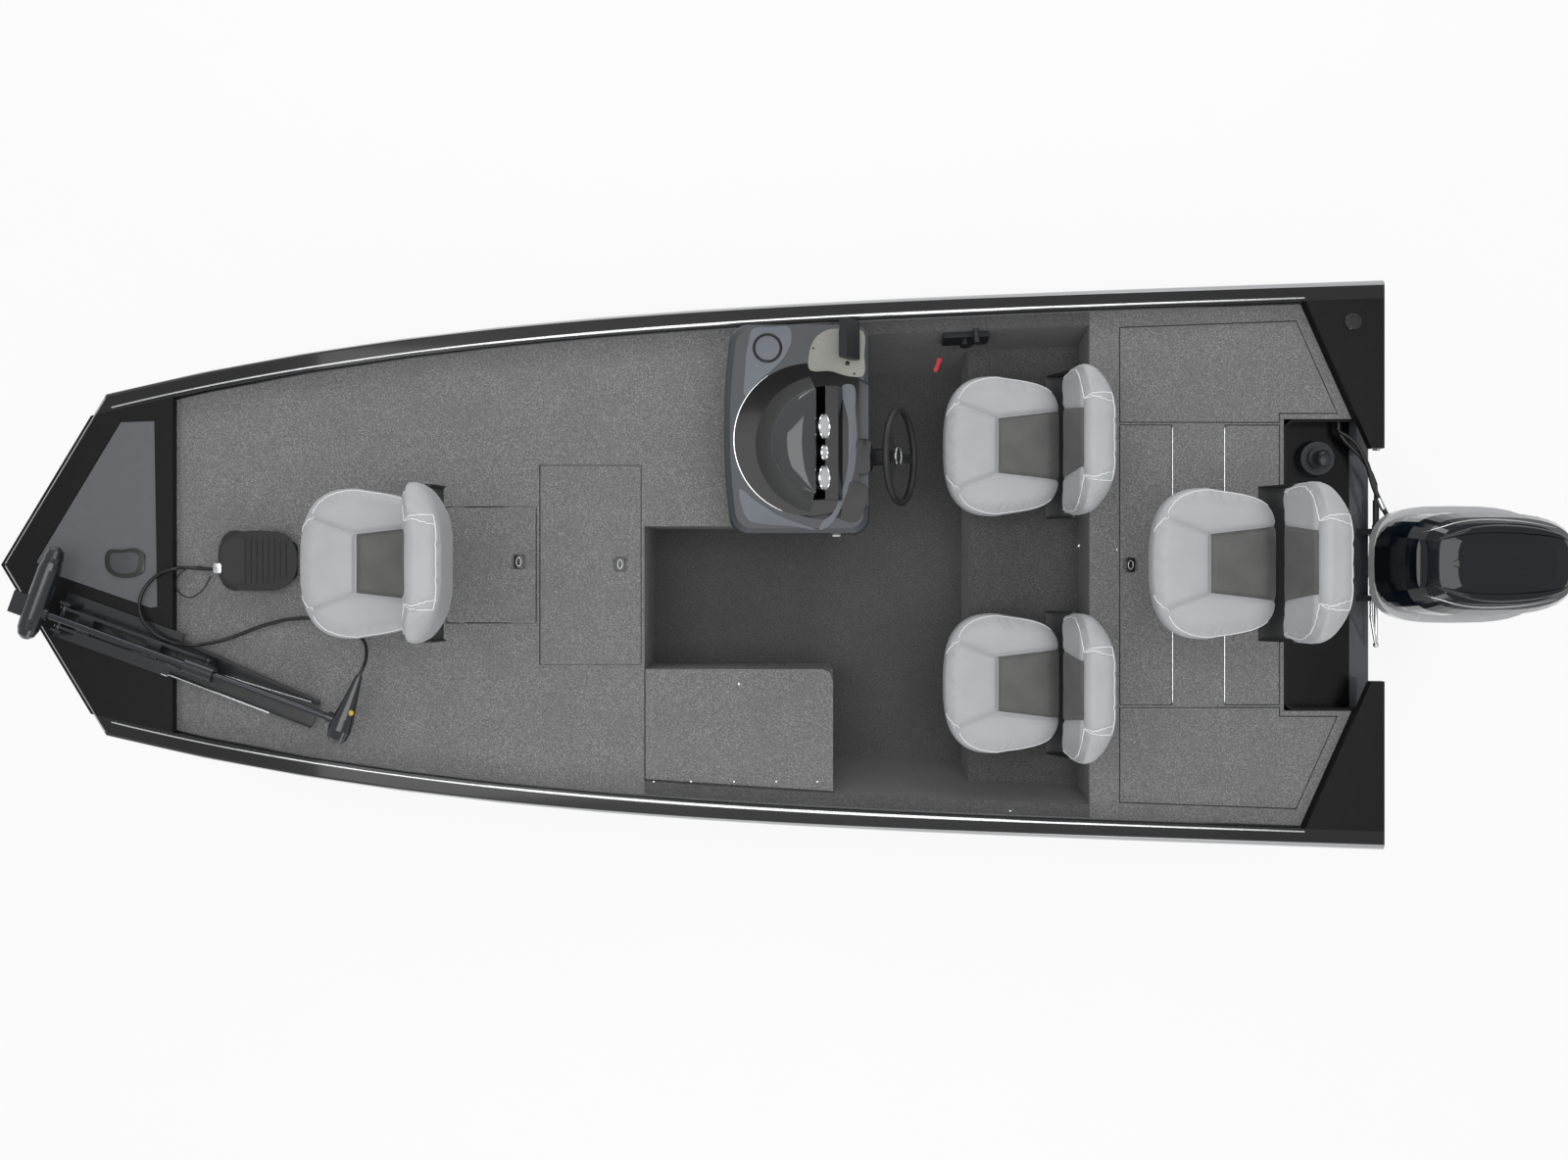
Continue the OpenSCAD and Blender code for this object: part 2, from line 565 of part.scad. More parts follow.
// Seats: each in its own frame, with the post's middle at the origin and the cushion's top at z 0.
cushion_front = 302;
cushion_rear = cushion_front - cushion_len;
pan_t = 6;
pan_z = -cushion_t - rest_gap - pan_t;
hinge_at = [-225, 60];
back_foot = 18;
back_front_in = 58;
fold_limit = 60;
fold_gap = 6;
bracket_y = seat_w / 2 + 6;
pin_r = 5;
cushion_mid = 80;
// Cushion rings: inset and height.
cushion_rings = [[22, -cushion_t], [4, -cushion_t + 25], [0, -40], [8, -16], [34, 0]];
module seat_cushion() color("#b9bcc0") loft([for (s = cushion_rings)
    at_z(egg(cushion_mid, cushion_mid - cushion_rear - s[0], cushion_front - cushion_mid - s[0],
        cushion_w / 2 - s[0], 5, 2.8, 0.14), s[1])]);
// Plan of a backrest: a curved rear and a front whose wings come forward.
function back_rear(y) = -back_t - 10 + 75 * abs(y / (back_w / 2)) ^ 4;
function back_front(y) = -8 + wing * abs(y / (back_w / 2)) ^ 3;
back_steps = 12;
function back_plan() = let(h = back_w / 2, ys = [for (i = [-back_steps:back_steps]) i * h / back_steps])
    concat([for (y = ys) [back_front(y), y]],
        [for (y = flip(ys)) [back_rear(y), y]]);
// Outline of a backrest seen from the front, across and up.
function back_face() = let(h = back_w / 2, l = seat_w / 2 - 4)
    concat([[-l, back_foot], [l, back_foot], [l, 100], [h, 130]],
        arc([h - 110, back_h - 80], 110, 0, 90, 5), arc([110 - h, back_h - 80], 110, 90, 180, 5),
        [[-h, 130], [-l, 100]]);
// Height above the cushion that leaves the wings room to fold down, at dx in front of the hinge.
function fold_room(dx) = hinge_at.y + (dx * sin(fold_limit) - hinge_at.y + fold_gap) / cos(fold_limit);
module seat_back() {
    color("#b9bcc0") difference() {
        translate([hinge_at.x, 0, 0]) rotate([0, -back_lean, 0]) translate([back_front_in, 0, 0]) intersection() {
            linear_extrude(back_h + 40) polygon(back_plan());
            rotate([90, 0, 90]) translate([0, 0, -250]) linear_extrude(500) polygon(back_face());
        }
        translate([hinge_at.x, back_w, 0]) rotate([90, 0, 0]) linear_extrude(2 * back_w)
            polygon([[20, -60], [200, -60], [200, fold_room(200)], [20, fold_room(20)]]);
    }
    for (s = [-1, 1]) color("#222426") translate([hinge_at.x, 0, hinge_at.y]) rotate([-90 * s, 0, 0])
        translate([0, 0, bracket_y - 30]) cylinder(h = 38, r = pin_r);
}
module seat_frame() color("#1d1f21") {
    box(-150, 150, -150, 150, pan_z, pan_z + pan_t);
    box(-240, -140, -bracket_y - 6, bracket_y + 6, pan_z, pan_z + pan_t);
    for (s = [-1, 1]) difference() {
        translate([0, s > 0 ? bracket_y + 6 : -bracket_y, 0]) rotate([90, 0, 0]) linear_extrude(6)
            union() {
                polygon([[-240, pan_z], [-140, pan_z], [-150, pan_z + 40], [hinge_at.x + 17, hinge_at.y + 8],
                    [hinge_at.x - 18, hinge_at.y], [-262, pan_z + 60]]);
                translate([hinge_at.x, hinge_at.y]) circle(r = 18);
            }
        bar_y(-bracket_y - 20, bracket_y + 20, hinge_at.x, hinge_at.y, pin_r + 0.3);
    }
}
module seat_post(foot_z) color("#25282b") {
    translate([0, 0, foot_z]) cylinder(h = 14, r = 58);
    translate([0, 0, foot_z + 14]) cylinder(h = -foot_z - 14 + pan_z - rest_gap - 10, r = 36);
    translate([0, 0, pan_z - rest_gap - 10]) cylinder(h = 10, r = 55);
}
module seat_riser(foot_z) color("#25282b") difference() {
    box(-150, 150, -150, 150, foot_z, pan_z + 1);
    box(-130, 130, -160, 160, foot_z + 20, pan_z - 20);
}
module at_bow_seat() translate([bow_seat_x, 0, bow_seat_z]) children();
module at_stern_seat() translate([stern_seat_x, 0, stern_seat_z]) children();
module at_mid_seat(side) translate([mid_seat_x, side * mid_seat_y, mid_seat_z]) children();
module seat_posts() {
    at_bow_seat() seat_post(deck_z - bow_seat_z);
    at_stern_seat() seat_post(deck_z - stern_seat_z);
}
module cockpit_seat_frames() for (side = [-1, 1]) at_mid_seat(side) {
    seat_frame();
    seat_riser(bench_z - mid_seat_z);
}
module bow_seat_frame() at_bow_seat() seat_frame();
module bow_seat_cushion() at_bow_seat() seat_cushion();
module bow_seat_back() at_bow_seat() seat_back();
module stern_seat_frame() at_stern_seat() seat_frame();
module stern_seat_cushion() at_stern_seat() seat_cushion();
module stern_seat_back() at_stern_seat() seat_back();
module starboard_seat_cushion() at_mid_seat(-1) seat_cushion();
module starboard_seat_back() at_mid_seat(-1) seat_back();
module port_seat_cushion() at_mid_seat(1) seat_cushion();
module port_seat_back() at_mid_seat(1) seat_back();

// Outboard motor.
tube_r = 16;
ram_r = 8;
module clamp_bracket() color("#1a1c1e") difference() {
    union() {
        for (y = [-152, 128]) translate([0, y + 24, 0]) rotate([90, 0, 0]) linear_extrude(24) union() {
            polygon([[-62, -60], [-rest_gap, -90], [-rest_gap, notch_z + rest_gap], [52, notch_z + rest_gap],
                [50, 296], [10, 338], [-34, 338], [-62, 300]]);
            translate([tilt_x, tilt_z]) circle(r = 27);
        }
        bar_y(-168, 149, tilt_x, tilt_z, tube_r);
    }
    bar_y(-180, 160, tilt_x, tilt_z, ram_r + 0.3);
}
swivel_lo = -110;
swivel_hi = 296;
module swivel_bracket() color("#1e2023") difference() {
    union() {
        bar_z(swivel_lo, swivel_hi, steer_x, 0, 36);
        for (y = [-122, 98]) translate([0, y + 24, 0]) rotate([90, 0, 0]) linear_extrude(24) union() {
            polygon([[steer_x - 20, swivel_hi - 140], [steer_x + 30, swivel_hi - 120], [tilt_x + 18, tilt_z - 24],
                [tilt_x, tilt_z + 26], [steer_x - 20, swivel_hi]]);
            translate([tilt_x, tilt_z]) circle(r = 26);
        }
        box(steer_x - 20, steer_x + 24, -122, 122, swivel_hi - 110, swivel_hi - 40);
    }
    bar_y(-180, 160, tilt_x, tilt_z, tube_r + 0.3);
    bar_z(swivel_lo - 1, swivel_hi + 1, steer_x, 0, 18.3);
}
// Cowl rings: inset at the sides, at the rear and at the front, then height.
cowl_mid = -216;
function cowl_ring(side, rear, front) =
    egg(cowl_mid, cowl_mid - cowl_aft - rear, cowl_fwd - cowl_mid - front, cowl_half - side, 3, 3.5);
cowl_rings = [[0, 0, 0, 560], [0, 0, 0, 700], [8, 14, 20, 810], [28, 50, 60, 880], [52, 95, 105, 915],
    [90, 150, 170, 930]];
module motor_cowl() color("#0f1418") loft([for (c = cowl_rings)
    at_z(cowl_ring(c[0], c[1], c[2]), c[3] + cowl_z - 930)]);
cowl_band = 30;
lower_rings = [[120, 200, 90, 430], [40, 60, 30, 475], [0, 0, 0, 500], [0, 0, 0, 559.7]];
module lower_cowl() color("#c9cccf") loft([for (c = lower_rings)
    at_z(cowl_ring(c[0] - cowl_band, c[1] - 6, c[2]), c[3])]);
// Leg rings: front, rear, half width, height.
leg_rings = [[-150, -420, 80, 429.7], [-152, -390, 74, 330], [-154, -350, 58, 150], [-158, -330, 46, -60],
    [-162, -330, 40, -200], [-165, -340, 36, -330], [-190, -330, 20, -400]];
gear_r = 52;
hub_x = -480;
module motor_leg() color("#0f1418") {
    loft([for (c = flip(leg_rings)) at_z(rounded(c[1], c[0], c[2], 2 * c[2], c[2] * 0.45, c[2] * 0.9, 4), c[3])]);
    translate([steer_x, 0, 0]) {
        bar_z(swivel_lo + 2, swivel_hi - 2, 0, 0, 18);
        bar_z(swivel_hi + 3, 345, 0, 0, 34);
        bar_z(-160, swivel_lo - 3, 0, 0, 34);
        bar_z(swivel_hi - 4, swivel_hi + 4, 0, 0, 18);
        bar_z(swivel_lo - 4, swivel_lo + 4, 0, 0, 18);
    }
    box(steer_x - 80, steer_x, -30, 30, swivel_hi + 3, 345);
    box(steer_x - 80, steer_x, -26, 26, -160, swivel_lo - 3);
    box(steer_x, 2, 0, 40, 345, 357);
    bar_z(345, 357, 2, 22, 18);
    box(steer_x - 34, steer_x + 30, -30, 40, 343, 357);
    prism(rounded(-560, -170, 190, 90, 60, 30, 4), plate_z - 8, plate_z);
    translate([0, 0, prop_z]) rotate([0, -90, 0]) rotate_extrude()
        polygon([[0, 165], [14, 172], [30, 190], [46, 230], [gear_r, 280], [gear_r, 360],
            [46, -hub_x - 55], [0, -hub_x - 55]]);
    bar_x(hub_x - 30, hub_x + 60, 0, prop_z, 12);
    translate([0, 5, 0]) rotate([90, 0, 0]) linear_extrude(10)
        polygon([[-215, prop_z - 40], [-395, prop_z - 40], [-400, prop_z - 120], [-380, -620],
            [-330, -620], [-260, prop_z - 90]]);
}
blade_n = 3;
// One blade, as sections that turn and widen outwards: radius, half chord, pitch angle.
blade_rows = [[34, 34, 62], [80, 58, 48], [125, 62, 38], [155, 44, 33], [prop_r, 16, 30]];
module blade() loft([for (b = blade_rows) let(c = cos(b[2]), s = sin(b[2]), t = b[0] < 60 ? 7 : 4)
    [for (q = [[-1, 0], [-0.4, -1], [0.4, -1], [1, 0], [0.4, 0.6], [-0.4, 0.6]])
        [q.x * b[1] * s - q.y * t * c, q.x * b[1] * c + q.y * t * s, b[0]]]]);
module propeller() color("#2a2d30") translate([hub_x, 0, prop_z]) {
    difference() {
        bar_x(-62, 50, 0, 0, 40);
        bar_x(-30 - rest_gap, 51, 0, 0, 12.3);
    }
    translate([-62, 0, 0]) rotate([0, -90, 0]) cylinder(h = 22, r1 = 22, r2 = 10);
    for (i = [0:blade_n - 1]) rotate([i * 360 / blade_n, 0, 0]) blade();
}
arm_tip = [2, 22];
module steering_ram() color("#b9bcbf") {
    bar_y(-110, 334, tilt_x, tilt_z, ram_r);
    bar([tilt_x, 334, tilt_z], [31, 215, 371], 7);
    bar([31, 215, 371], [31, 160, 371], 7);
    bar([31, 160, 371], [arm_tip.x, arm_tip.y, 371], 7);
    translate([31, 215, 371]) sphere(r = 9);
    translate([31, 160, 371]) sphere(r = 9);
    translate([tilt_x, 334, tilt_z]) sphere(r = 12);
    bar_z(358, 378, arm_tip.x, arm_tip.y, 12);
}
// A cable through points: ring i of n_sides corners at radius r.
cable_sides = 8;
function cable_ring(pts, r, i) = let(n = len(pts), a = pts[max(0, i - 1)], b = pts[min(n - 1, i + 1)],
    t = unit(b - a), u = unit(cross([0, 0, 1], t)), v = cross(t, u))
    [for (k = [0:cable_sides - 1]) let(w = 360 * k / cable_sides) pts[i] + r * (cos(w) * u + sin(w) * v)];
module cable(pts, r) loft([for (i = [0:len(pts) - 1]) cable_ring(pts, r, i)]);
// Steering cable: out of the splash well's side to the end of the tilt tube.
module steering_cable() color("#131415") {
    cable([[150, -592.6, 325], [150, -570, 325], [142, -545, 327], [124, -518, 331], [96, -488, 336], [62, -452, 339],
        [34, -412, 337], [12, -374, 331], [-4, -338, 324], [tilt_x, -304, tilt_z], [tilt_x, -262, tilt_z]], 9);
    bar_y(-271, -168.3, tilt_x, tilt_z, 13);
}

// Bow motor, in its own frame: the arm's pivot at the origin, x towards the pod, y to port of it.
module on_arm() translate([hull_len - arm_back, arm_y, 0]) rotate([0, 0, -stow_angle]) children();
base_len = 1090;
base_z = sheer_z + rest_gap;
base_fwd = 36;
base_step = -470;
base_wide = 95;
rail_w = 4;
rail_h = 38;
// Sides of the base's narrow part: at its front, then at its aft end.
base_side = [[-70, -26], [78, 88]];
module trolling_base() color("#1a1c1e") on_arm() difference() {
    union() {
        box(base_step, base_fwd, -base_wide, base_wide, base_z, base_z + 14);
        prism([[-base_len, base_side[0][1]], [base_step + 1, base_side[0][0]], [base_step + 1, base_side[1][0]],
            [-base_len, base_side[1][1]]], base_z, base_z + 10);
        for (s = [0, 1]) let(y = base_side[s], w = s == 0 ? rail_w : -rail_w)
            prism([[-base_len, y[1]], [base_step, y[0]], [base_step, y[0] + w], [-base_len, y[1] + w]],
                base_z, base_z + rail_h);
        for (y = [64, -52]) translate([0, y, 0]) rotate([90, 0, 0]) linear_extrude(12)
            polygon([[-50, base_z], [34, base_z], [22, arm_z + 16], [-22, arm_z + 16]]);
        box(-base_len + 20, -base_len + 120, -10, 70, deck_z, base_z + 1);
    }
    bar_y(-100, 100, 0, arm_z, 8.3);
}
module trolling_arm() color("#25282c") on_arm() {
    bar_y(-66, 66, 0, arm_z, 8);
    for (y = [46, -34]) translate([0, y, 0]) rotate([90, 0, 0]) linear_extrude(12) difference() {
        union() {
            translate([-arm_len, arm_z - 14]) square([arm_len, 28]);
            translate([0, arm_z]) circle(r = 18);
            translate([-arm_len, arm_z]) circle(r = 18);
        }
        translate([-arm_len, arm_z]) circle(r = 7.3);
    }
    for (x = [-130, -420]) box(x, x + 60, -35, 35, arm_z - 12, arm_z + 6);
}
module trolling_collar() color("#17191b") on_arm() difference() {
    union() {
        bar_y(-46, 46, -arm_len, arm_z, 7);
        translate([0, 32, 0]) rotate([90, 0, 0]) linear_extrude(64)
            polygon([[-arm_len - 26, arm_z - 16], [-arm_len + 26, arm_z - 16], [-arm_len + 40, shaft_z + 10],
                [-arm_len - 40, shaft_z + 10]]);
        bar_x(-arm_len - 60, -arm_len + 60, 0, shaft_z, 32);
    }
    bar_x(-arm_len - 80, -arm_len + 80, 0, shaft_z, shaft_r + 0.4);
}
pod_x = 85;
pod_front = 124;
pod_len = 330;
head_x = -1232;
module trolling_shaft() color("#9fa3a8") on_arm() bar_x(head_x + 62, pod_x - pod_r - 14, 0, shaft_z, shaft_r);
// Head: a teardrop that narrows towards the cable's inlet.
module trolling_head() color("#14171a") on_arm() translate([head_x, 0, shaft_z]) {
    translate([0, 92, 0]) rotate([90, 0, 0]) rotate_extrude()
        polygon([[0, 0], [24, 6], [40, 24], [46, 60], [42, 110], [28, 190], [15, 282], [12, 294], [0, 294]]);
    bar_x(20, 62, 0, 0, 24);
}
module trolling_pod() color("#1b1e22") on_arm() translate([pod_x, 0, shaft_z]) {
    translate([0, pod_front, 0]) rotate([90, 0, 0]) rotate_extrude()
        polygon([[0, 0], [16, 4], [32, 18], [pod_r - 3, 45], [pod_r, 90], [pod_r, 300], [pod_r - 6, pod_len], [0, pod_len]]);
    bar_x(-pod_r - 14, -20, 0, 0, 24);
    translate([pod_r - 8, 40, 6]) rotate([0, 90, 0]) linear_extrude(66) polygon([[0, 0], [12, 0], [12, -90], [0, -90]]);
}
module trolling_prop() color("#15181b") on_arm() translate([pod_x, pod_front - pod_len - rest_gap, shaft_z]) {
    rotate([90, 0, 0]) rotate_extrude()
        polygon([[0, 0], [36, 0], [38, 20], [30, 50], [12, 63], [0, 63]]);
}

// Foot pedal: a base with a rocking foot plate on top.
pedal_x = hull_len - pedal_back;
module foot_pedal() color("#202327") translate([pedal_x, -18, deck_z]) {
    prism(rounded(0, pedal_len, pedal_w - 90, pedal_w, 30, 60), 0, 18);
    translate([pedal_len / 2, 0, 0]) box(-20, 20, -60, 60, 17, 52);
    translate([20, 0, 34]) rotate([0, -5, 0])
        prism(rounded(0, pedal_len - 40, pedal_w - 130, pedal_w - 60, 40, 60), 0, 14);
    bar_x(pedal_len - 6, pedal_len + 14, 35, 12, 11);
}
// Pedal cable: from the pedal's forward end in a loop over the deck and under the seat to the head.
cable_r = 7;
cable_points = [
    [4812, 17, 397], [4847, 17, 394], [4881, 15, 392], [4915, 13, 397], [4945, 12, 414],
    [4969, 15, 438], [5002, 23, 443], [5034, 37, 441], [5062, 57, 438], [5086, 83, 438],
    [5103, 113, 444], [5112, 146, 446], [5111, 181, 453], [5100, 212, 463], [5082, 240, 472],
    [5058, 265, 478], [5031, 286, 483], [5000, 303, 478], [4968, 316, 479], [4935, 324, 478],
    [4900, 328, 483], [4867, 328, 474], [4838, 324, 448], [4810, 318, 428], [4783, 310, 408],
    [4753, 299, 397], [4720, 287, 393], [4688, 274, 392], [4655, 262, 393], [4623, 251, 393],
    [4589, 242, 393], [4556, 233, 393], [4522, 226, 393], [4487, 222, 393], [4453, 220, 393],
    [4418, 222, 393], [4384, 226, 393], [4350, 234, 393], [4317, 245, 393], [4285, 259, 395],
    [4255, 274, 400], [4226, 290, 411], [4203, 307, 430], [4185, 323, 455], [4173, 342, 482],
    [4165, 361, 509], [4160, 383, 536], [4164, 412, 555], [4177, 443, 560]
];
module pedal_cable() color("#101112") cable(cable_points, cable_r);

hull_bottom();
hull_bow();
hull_stern();
hull_port_side();
hull_starboard_side();
stern_frame();
gunwales();
bow_cap();
bow_panel();
fore_deck();
fore_lid_a();
fore_lid_b();
cockpit_liner();
port_box();
port_box_lid();
seat_bench();
aft_deck();
aft_lid_starboard();
aft_lid_port();
aft_lid_front();
aft_lid_rear();
splash_well();
transom_corners();
stern_light();
console();
dash_panel();
windscreen();
sonar_display();
helm();
steering_wheel();
throttle_control();
seat_posts();
bow_seat_frame();
bow_seat_cushion();
bow_seat_back();
stern_seat_frame();
stern_seat_cushion();
stern_seat_back();
cockpit_seat_frames();
starboard_seat_cushion();
starboard_seat_back();
port_seat_cushion();
port_seat_back();
clamp_bracket();
swivel_bracket();
motor_cowl();
lower_cowl();
motor_leg();
propeller();
steering_ram();
steering_cable();
trolling_base();
trolling_arm();
trolling_collar();
trolling_shaft();
trolling_head();
trolling_pod();
trolling_prop();
foot_pedal();
pedal_cable();
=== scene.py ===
"""Looks of the bass boat: finishes for every CAD node, padded seats, glossy cowls and the small
fittings, with a plain studio round it. Run as a script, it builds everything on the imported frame."""
import math

import bpy
import numpy as np
from bpy.props import FloatProperty, FloatVectorProperty, PointerProperty
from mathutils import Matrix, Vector
from mathutils.bvhtree import BVHTree


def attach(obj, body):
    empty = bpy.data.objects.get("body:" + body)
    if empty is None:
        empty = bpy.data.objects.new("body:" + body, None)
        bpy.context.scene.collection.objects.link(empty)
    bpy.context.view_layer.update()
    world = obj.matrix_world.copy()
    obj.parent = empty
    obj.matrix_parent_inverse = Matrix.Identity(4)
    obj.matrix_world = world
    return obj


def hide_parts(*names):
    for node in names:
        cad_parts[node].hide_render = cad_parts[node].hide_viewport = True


bl_info = {
    "name": "Bass boat",
    "version": (1, 0, 0),
    "blender": (4, 5, 0),
    "location": "View3D > Sidebar > Boat",
    "description": "Finishes and fittings of an aluminium bass boat on its CAD frame",
    "category": "Object",
}

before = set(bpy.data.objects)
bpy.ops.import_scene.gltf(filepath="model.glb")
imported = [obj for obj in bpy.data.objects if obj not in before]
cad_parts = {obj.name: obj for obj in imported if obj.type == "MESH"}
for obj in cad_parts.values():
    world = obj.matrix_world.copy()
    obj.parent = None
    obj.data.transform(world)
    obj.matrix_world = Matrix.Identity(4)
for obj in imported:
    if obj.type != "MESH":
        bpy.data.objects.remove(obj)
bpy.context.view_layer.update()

# Hull outline, as the CAD has it: length, beam, bow corner, and the two losses of half beam.
HULL_LEN, BEAM, BOW_CORNER, TAPER, ENTRY = 5.690, 2.350, 5.265, 0.17, 0.33
DECK_Z, SHEER_Z = 0.385, 0.430
BOW_SEAT, STERN_SEAT = (4.027, 0.0, 0.900), (0.785, 0.0, 0.930)
MID_SEATS = {"starboard": (1.523, -0.488, 0.470), "port": (1.523, 0.488, 0.470)}
HINGE_X, BACK_LEAN, BACK_IN = -0.225, math.radians(4), 0.058


# ---------------------------------------------------------------- shader maths

class Socket:
    """A node's output; arithmetic on it adds Math nodes."""

    def __init__(self, finish, out):
        self.finish, self.out = finish, out

    def maths(self, operation, *values):
        return self.finish.node("ShaderNodeMath", {"operation": operation}, *values)

    def __add__(self, other):
        return self.maths("ADD", self, other)

    def __radd__(self, other):
        return self.maths("ADD", other, self)

    def __sub__(self, other):
        return self.maths("SUBTRACT", self, other)

    def __rsub__(self, other):
        return self.maths("SUBTRACT", other, self)

    def __mul__(self, other):
        return self.maths("MULTIPLY", self, other)

    def __rmul__(self, other):
        return self.maths("MULTIPLY", other, self)

    def __truediv__(self, other):
        return self.maths("DIVIDE", self, other)

    def __neg__(self):
        return self.maths("MULTIPLY", self, -1.0)

    def __pow__(self, other):
        return self.maths("POWER", self, other)

    def __abs__(self):
        return self.maths("ABSOLUTE", self)

    def least(self, other):
        return self.maths("MINIMUM", self, other)

    def most(self, other):
        return self.maths("MAXIMUM", self, other)

    def step(self, low, high):
        """0 below low and 1 above high, smooth between them."""
        return self.finish.node("ShaderNodeMapRange", {"interpolation_type": "SMOOTHSTEP"},
                                self, low, high, 0.0, 1.0)

    def inside(self, low, high, edge):
        """1 between low and high, with edges that wide."""
        return self.step(low - edge, low + edge) * (1 - self.step(high - edge, high + edge))


class Finish:
    """One node material, made of calls that each add a node."""

    def __init__(self, name):
        self.material = bpy.data.materials.new(name)
        self.material.use_nodes = True
        self.tree = self.material.node_tree
        self.tree.nodes.clear()
        self.target = self.tree.nodes.new("ShaderNodeOutputMaterial")

    def put(self, slot, value):
        if isinstance(value, Socket):
            self.tree.links.new(value.out, slot)
        elif slot.type == "RGBA":
            slot.default_value = (*value, 1.0) if len(value) == 3 else value
        else:
            slot.default_value = value

    def node(self, kind, settings, *values, out=0, **named):
        """A node of that kind: its settings first, then its inputs in order, or by name."""
        made = self.tree.nodes.new(kind)
        for key, value in settings.items():
            if key == "stops":
                ramp = made.color_ramp
                while len(ramp.elements) < len(value):
                    ramp.elements.new(0.5)
                for element, (place, colour) in zip(ramp.elements, value):
                    element.position, element.color = place, (*colour, 1.0)
            else:
                setattr(made, key, value)
        slots = [s for s in made.inputs if s.enabled]
        for slot, value in zip(slots, values):
            if value is not None:
                self.put(slot, value)
        for name, value in named.items():
            self.put(made.inputs[name.replace("_", " ")], value)
        outs = [s for s in made.outputs if s.enabled]
        return Socket(self, made.outputs[out] if isinstance(out, str) else outs[out])

    def place(self, attribute=None):
        """Object coordinates in metres, or the place that a mesh attribute holds."""
        if attribute:
            return self.node("ShaderNodeAttribute", {"attribute_name": attribute}, out="Vector")
        return self.node("ShaderNodeTexCoord", {}, out="Object")

    def split(self, vector):
        made = self.tree.nodes.new("ShaderNodeSeparateXYZ")
        self.put(made.inputs[0], vector)
        return [Socket(self, s) for s in made.outputs]

    def noise(self, where, scale, detail=2.0, rough=0.5, stretch=None):
        if stretch:
            where = self.node("ShaderNodeMapping", {}, where, Scale=stretch)
        return self.node("ShaderNodeTexNoise", {}, out="Fac", Vector=where, Scale=scale,
                         Detail=detail, Roughness=rough)

    def cells(self, where, scale, feature="F1", out="Distance"):
        return self.node("ShaderNodeTexVoronoi", {"feature": feature}, out=out, Vector=where, Scale=scale)

    def mix(self, factor, a, b):
        """Colour a where the factor is 0 and b where it is 1."""
        made = self.tree.nodes.new("ShaderNodeMix")
        made.data_type = "RGBA"
        for index, value in ((0, factor), (6, a), (7, b)):
            self.put(made.inputs[index], value)
        return Socket(self, made.outputs[2])

    def maths_wave(self, value, length):
        """0 to 1 and back, once in each length of the value."""
        return (value * (2 * math.pi / length)).maths("SINE", value * (2 * math.pi / length)) * 0.5 + 0.5

    def bump(self, height, depth, strength=1.0, normal=None):
        named = {"Normal": normal} if normal else {}
        return self.node("ShaderNodeBump", {}, Strength=strength, Distance=depth, Height=height, **named)

    def surface(self, **named):
        """The principled surface, by its own input names, joined to the output."""
        shader = self.node("ShaderNodeBsdfPrincipled", {}, **named)
        self.tree.links.new(shader.out, self.target.inputs["Surface"])
        return self.material


def grey(value, tint=(1.0, 1.0, 1.0)):
    """A linear grey of that value, tinted."""
    return tuple(value * t for t in tint)


# ---------------------------------------------------------------- finishes

def carpet(name, dark, mid, light):
    """Heather carpet: short looped pile of three yarn tones, with pile direction in soft patches."""
    f = Finish(name)
    at = f.place()
    yarn = f.noise(at, 230, 3.0, 0.75)
    fleck = f.cells(at, 170)
    patch = f.noise(at, 7, 3.0, 0.6)
    tone = f.mix(yarn.step(0.36, 0.64), dark, light)
    tone = f.mix(fleck.step(0.15, 0.75) * 0.55, mid, tone)
    tone = f.mix(patch.step(0.3, 0.75) * 0.35, tone, mid)
    pile = f.noise(at, 900, 2.0, 0.6) * 0.6 + yarn * 0.6
    return f.surface(Base_Color=tone, Roughness=0.95, Specular_IOR_Level=0.15, Sheen_Weight=0.25,
                     Sheen_Roughness=0.5, Normal=f.bump(pile, 0.0035))


def moulded(name, colour, rough, grain=900, depth=0.00015, coat=0.0, wear=0.08, metal=0.0):
    """Moulded plastic or paint: fine grain, with faint scuffs that change the gloss."""
    f = Finish(name)
    at = f.place()
    scuff = f.noise(at, 26, 5.0, 0.65)
    fine = f.noise(at, grain, 2.0)
    tone = f.mix(scuff.step(0.42, 0.8) * wear * 2.0, colour, tuple(min(1.0, c * 1.5 + 0.01) for c in colour))
    return f.surface(Base_Color=tone, Roughness=(scuff - 0.5) * wear + (fine - 0.5) * wear + rough,
                     Metallic=metal, Coat_Weight=coat, Coat_Roughness=0.06, Normal=f.bump(fine, depth))


def deep(material, level=0.3):
    """Lowers a black finish's reflection, so that it stays black under the white studio."""
    material.node_tree.nodes["Principled BSDF"].inputs["Specular IOR Level"].default_value = level
    return material


def brushed(name, colour, rough, scale=(6.0, 160.0, 160.0)):
    """Brushed or drawn metal: long fine streaks along the piece."""
    f = Finish(name)
    at = f.place()
    streak = f.noise(at, 14, 3.0, 0.6, stretch=scale)
    spot = f.noise(at, 40, 4.0)
    tone = f.mix(streak, grey(0.8, colour), grey(1.05, colour))
    return f.surface(Base_Color=tone, Metallic=1.0, Roughness=rough + (streak - 0.5) * 0.18 + (spot - 0.5) * 0.08,
                     Normal=f.bump(streak, 0.00008))


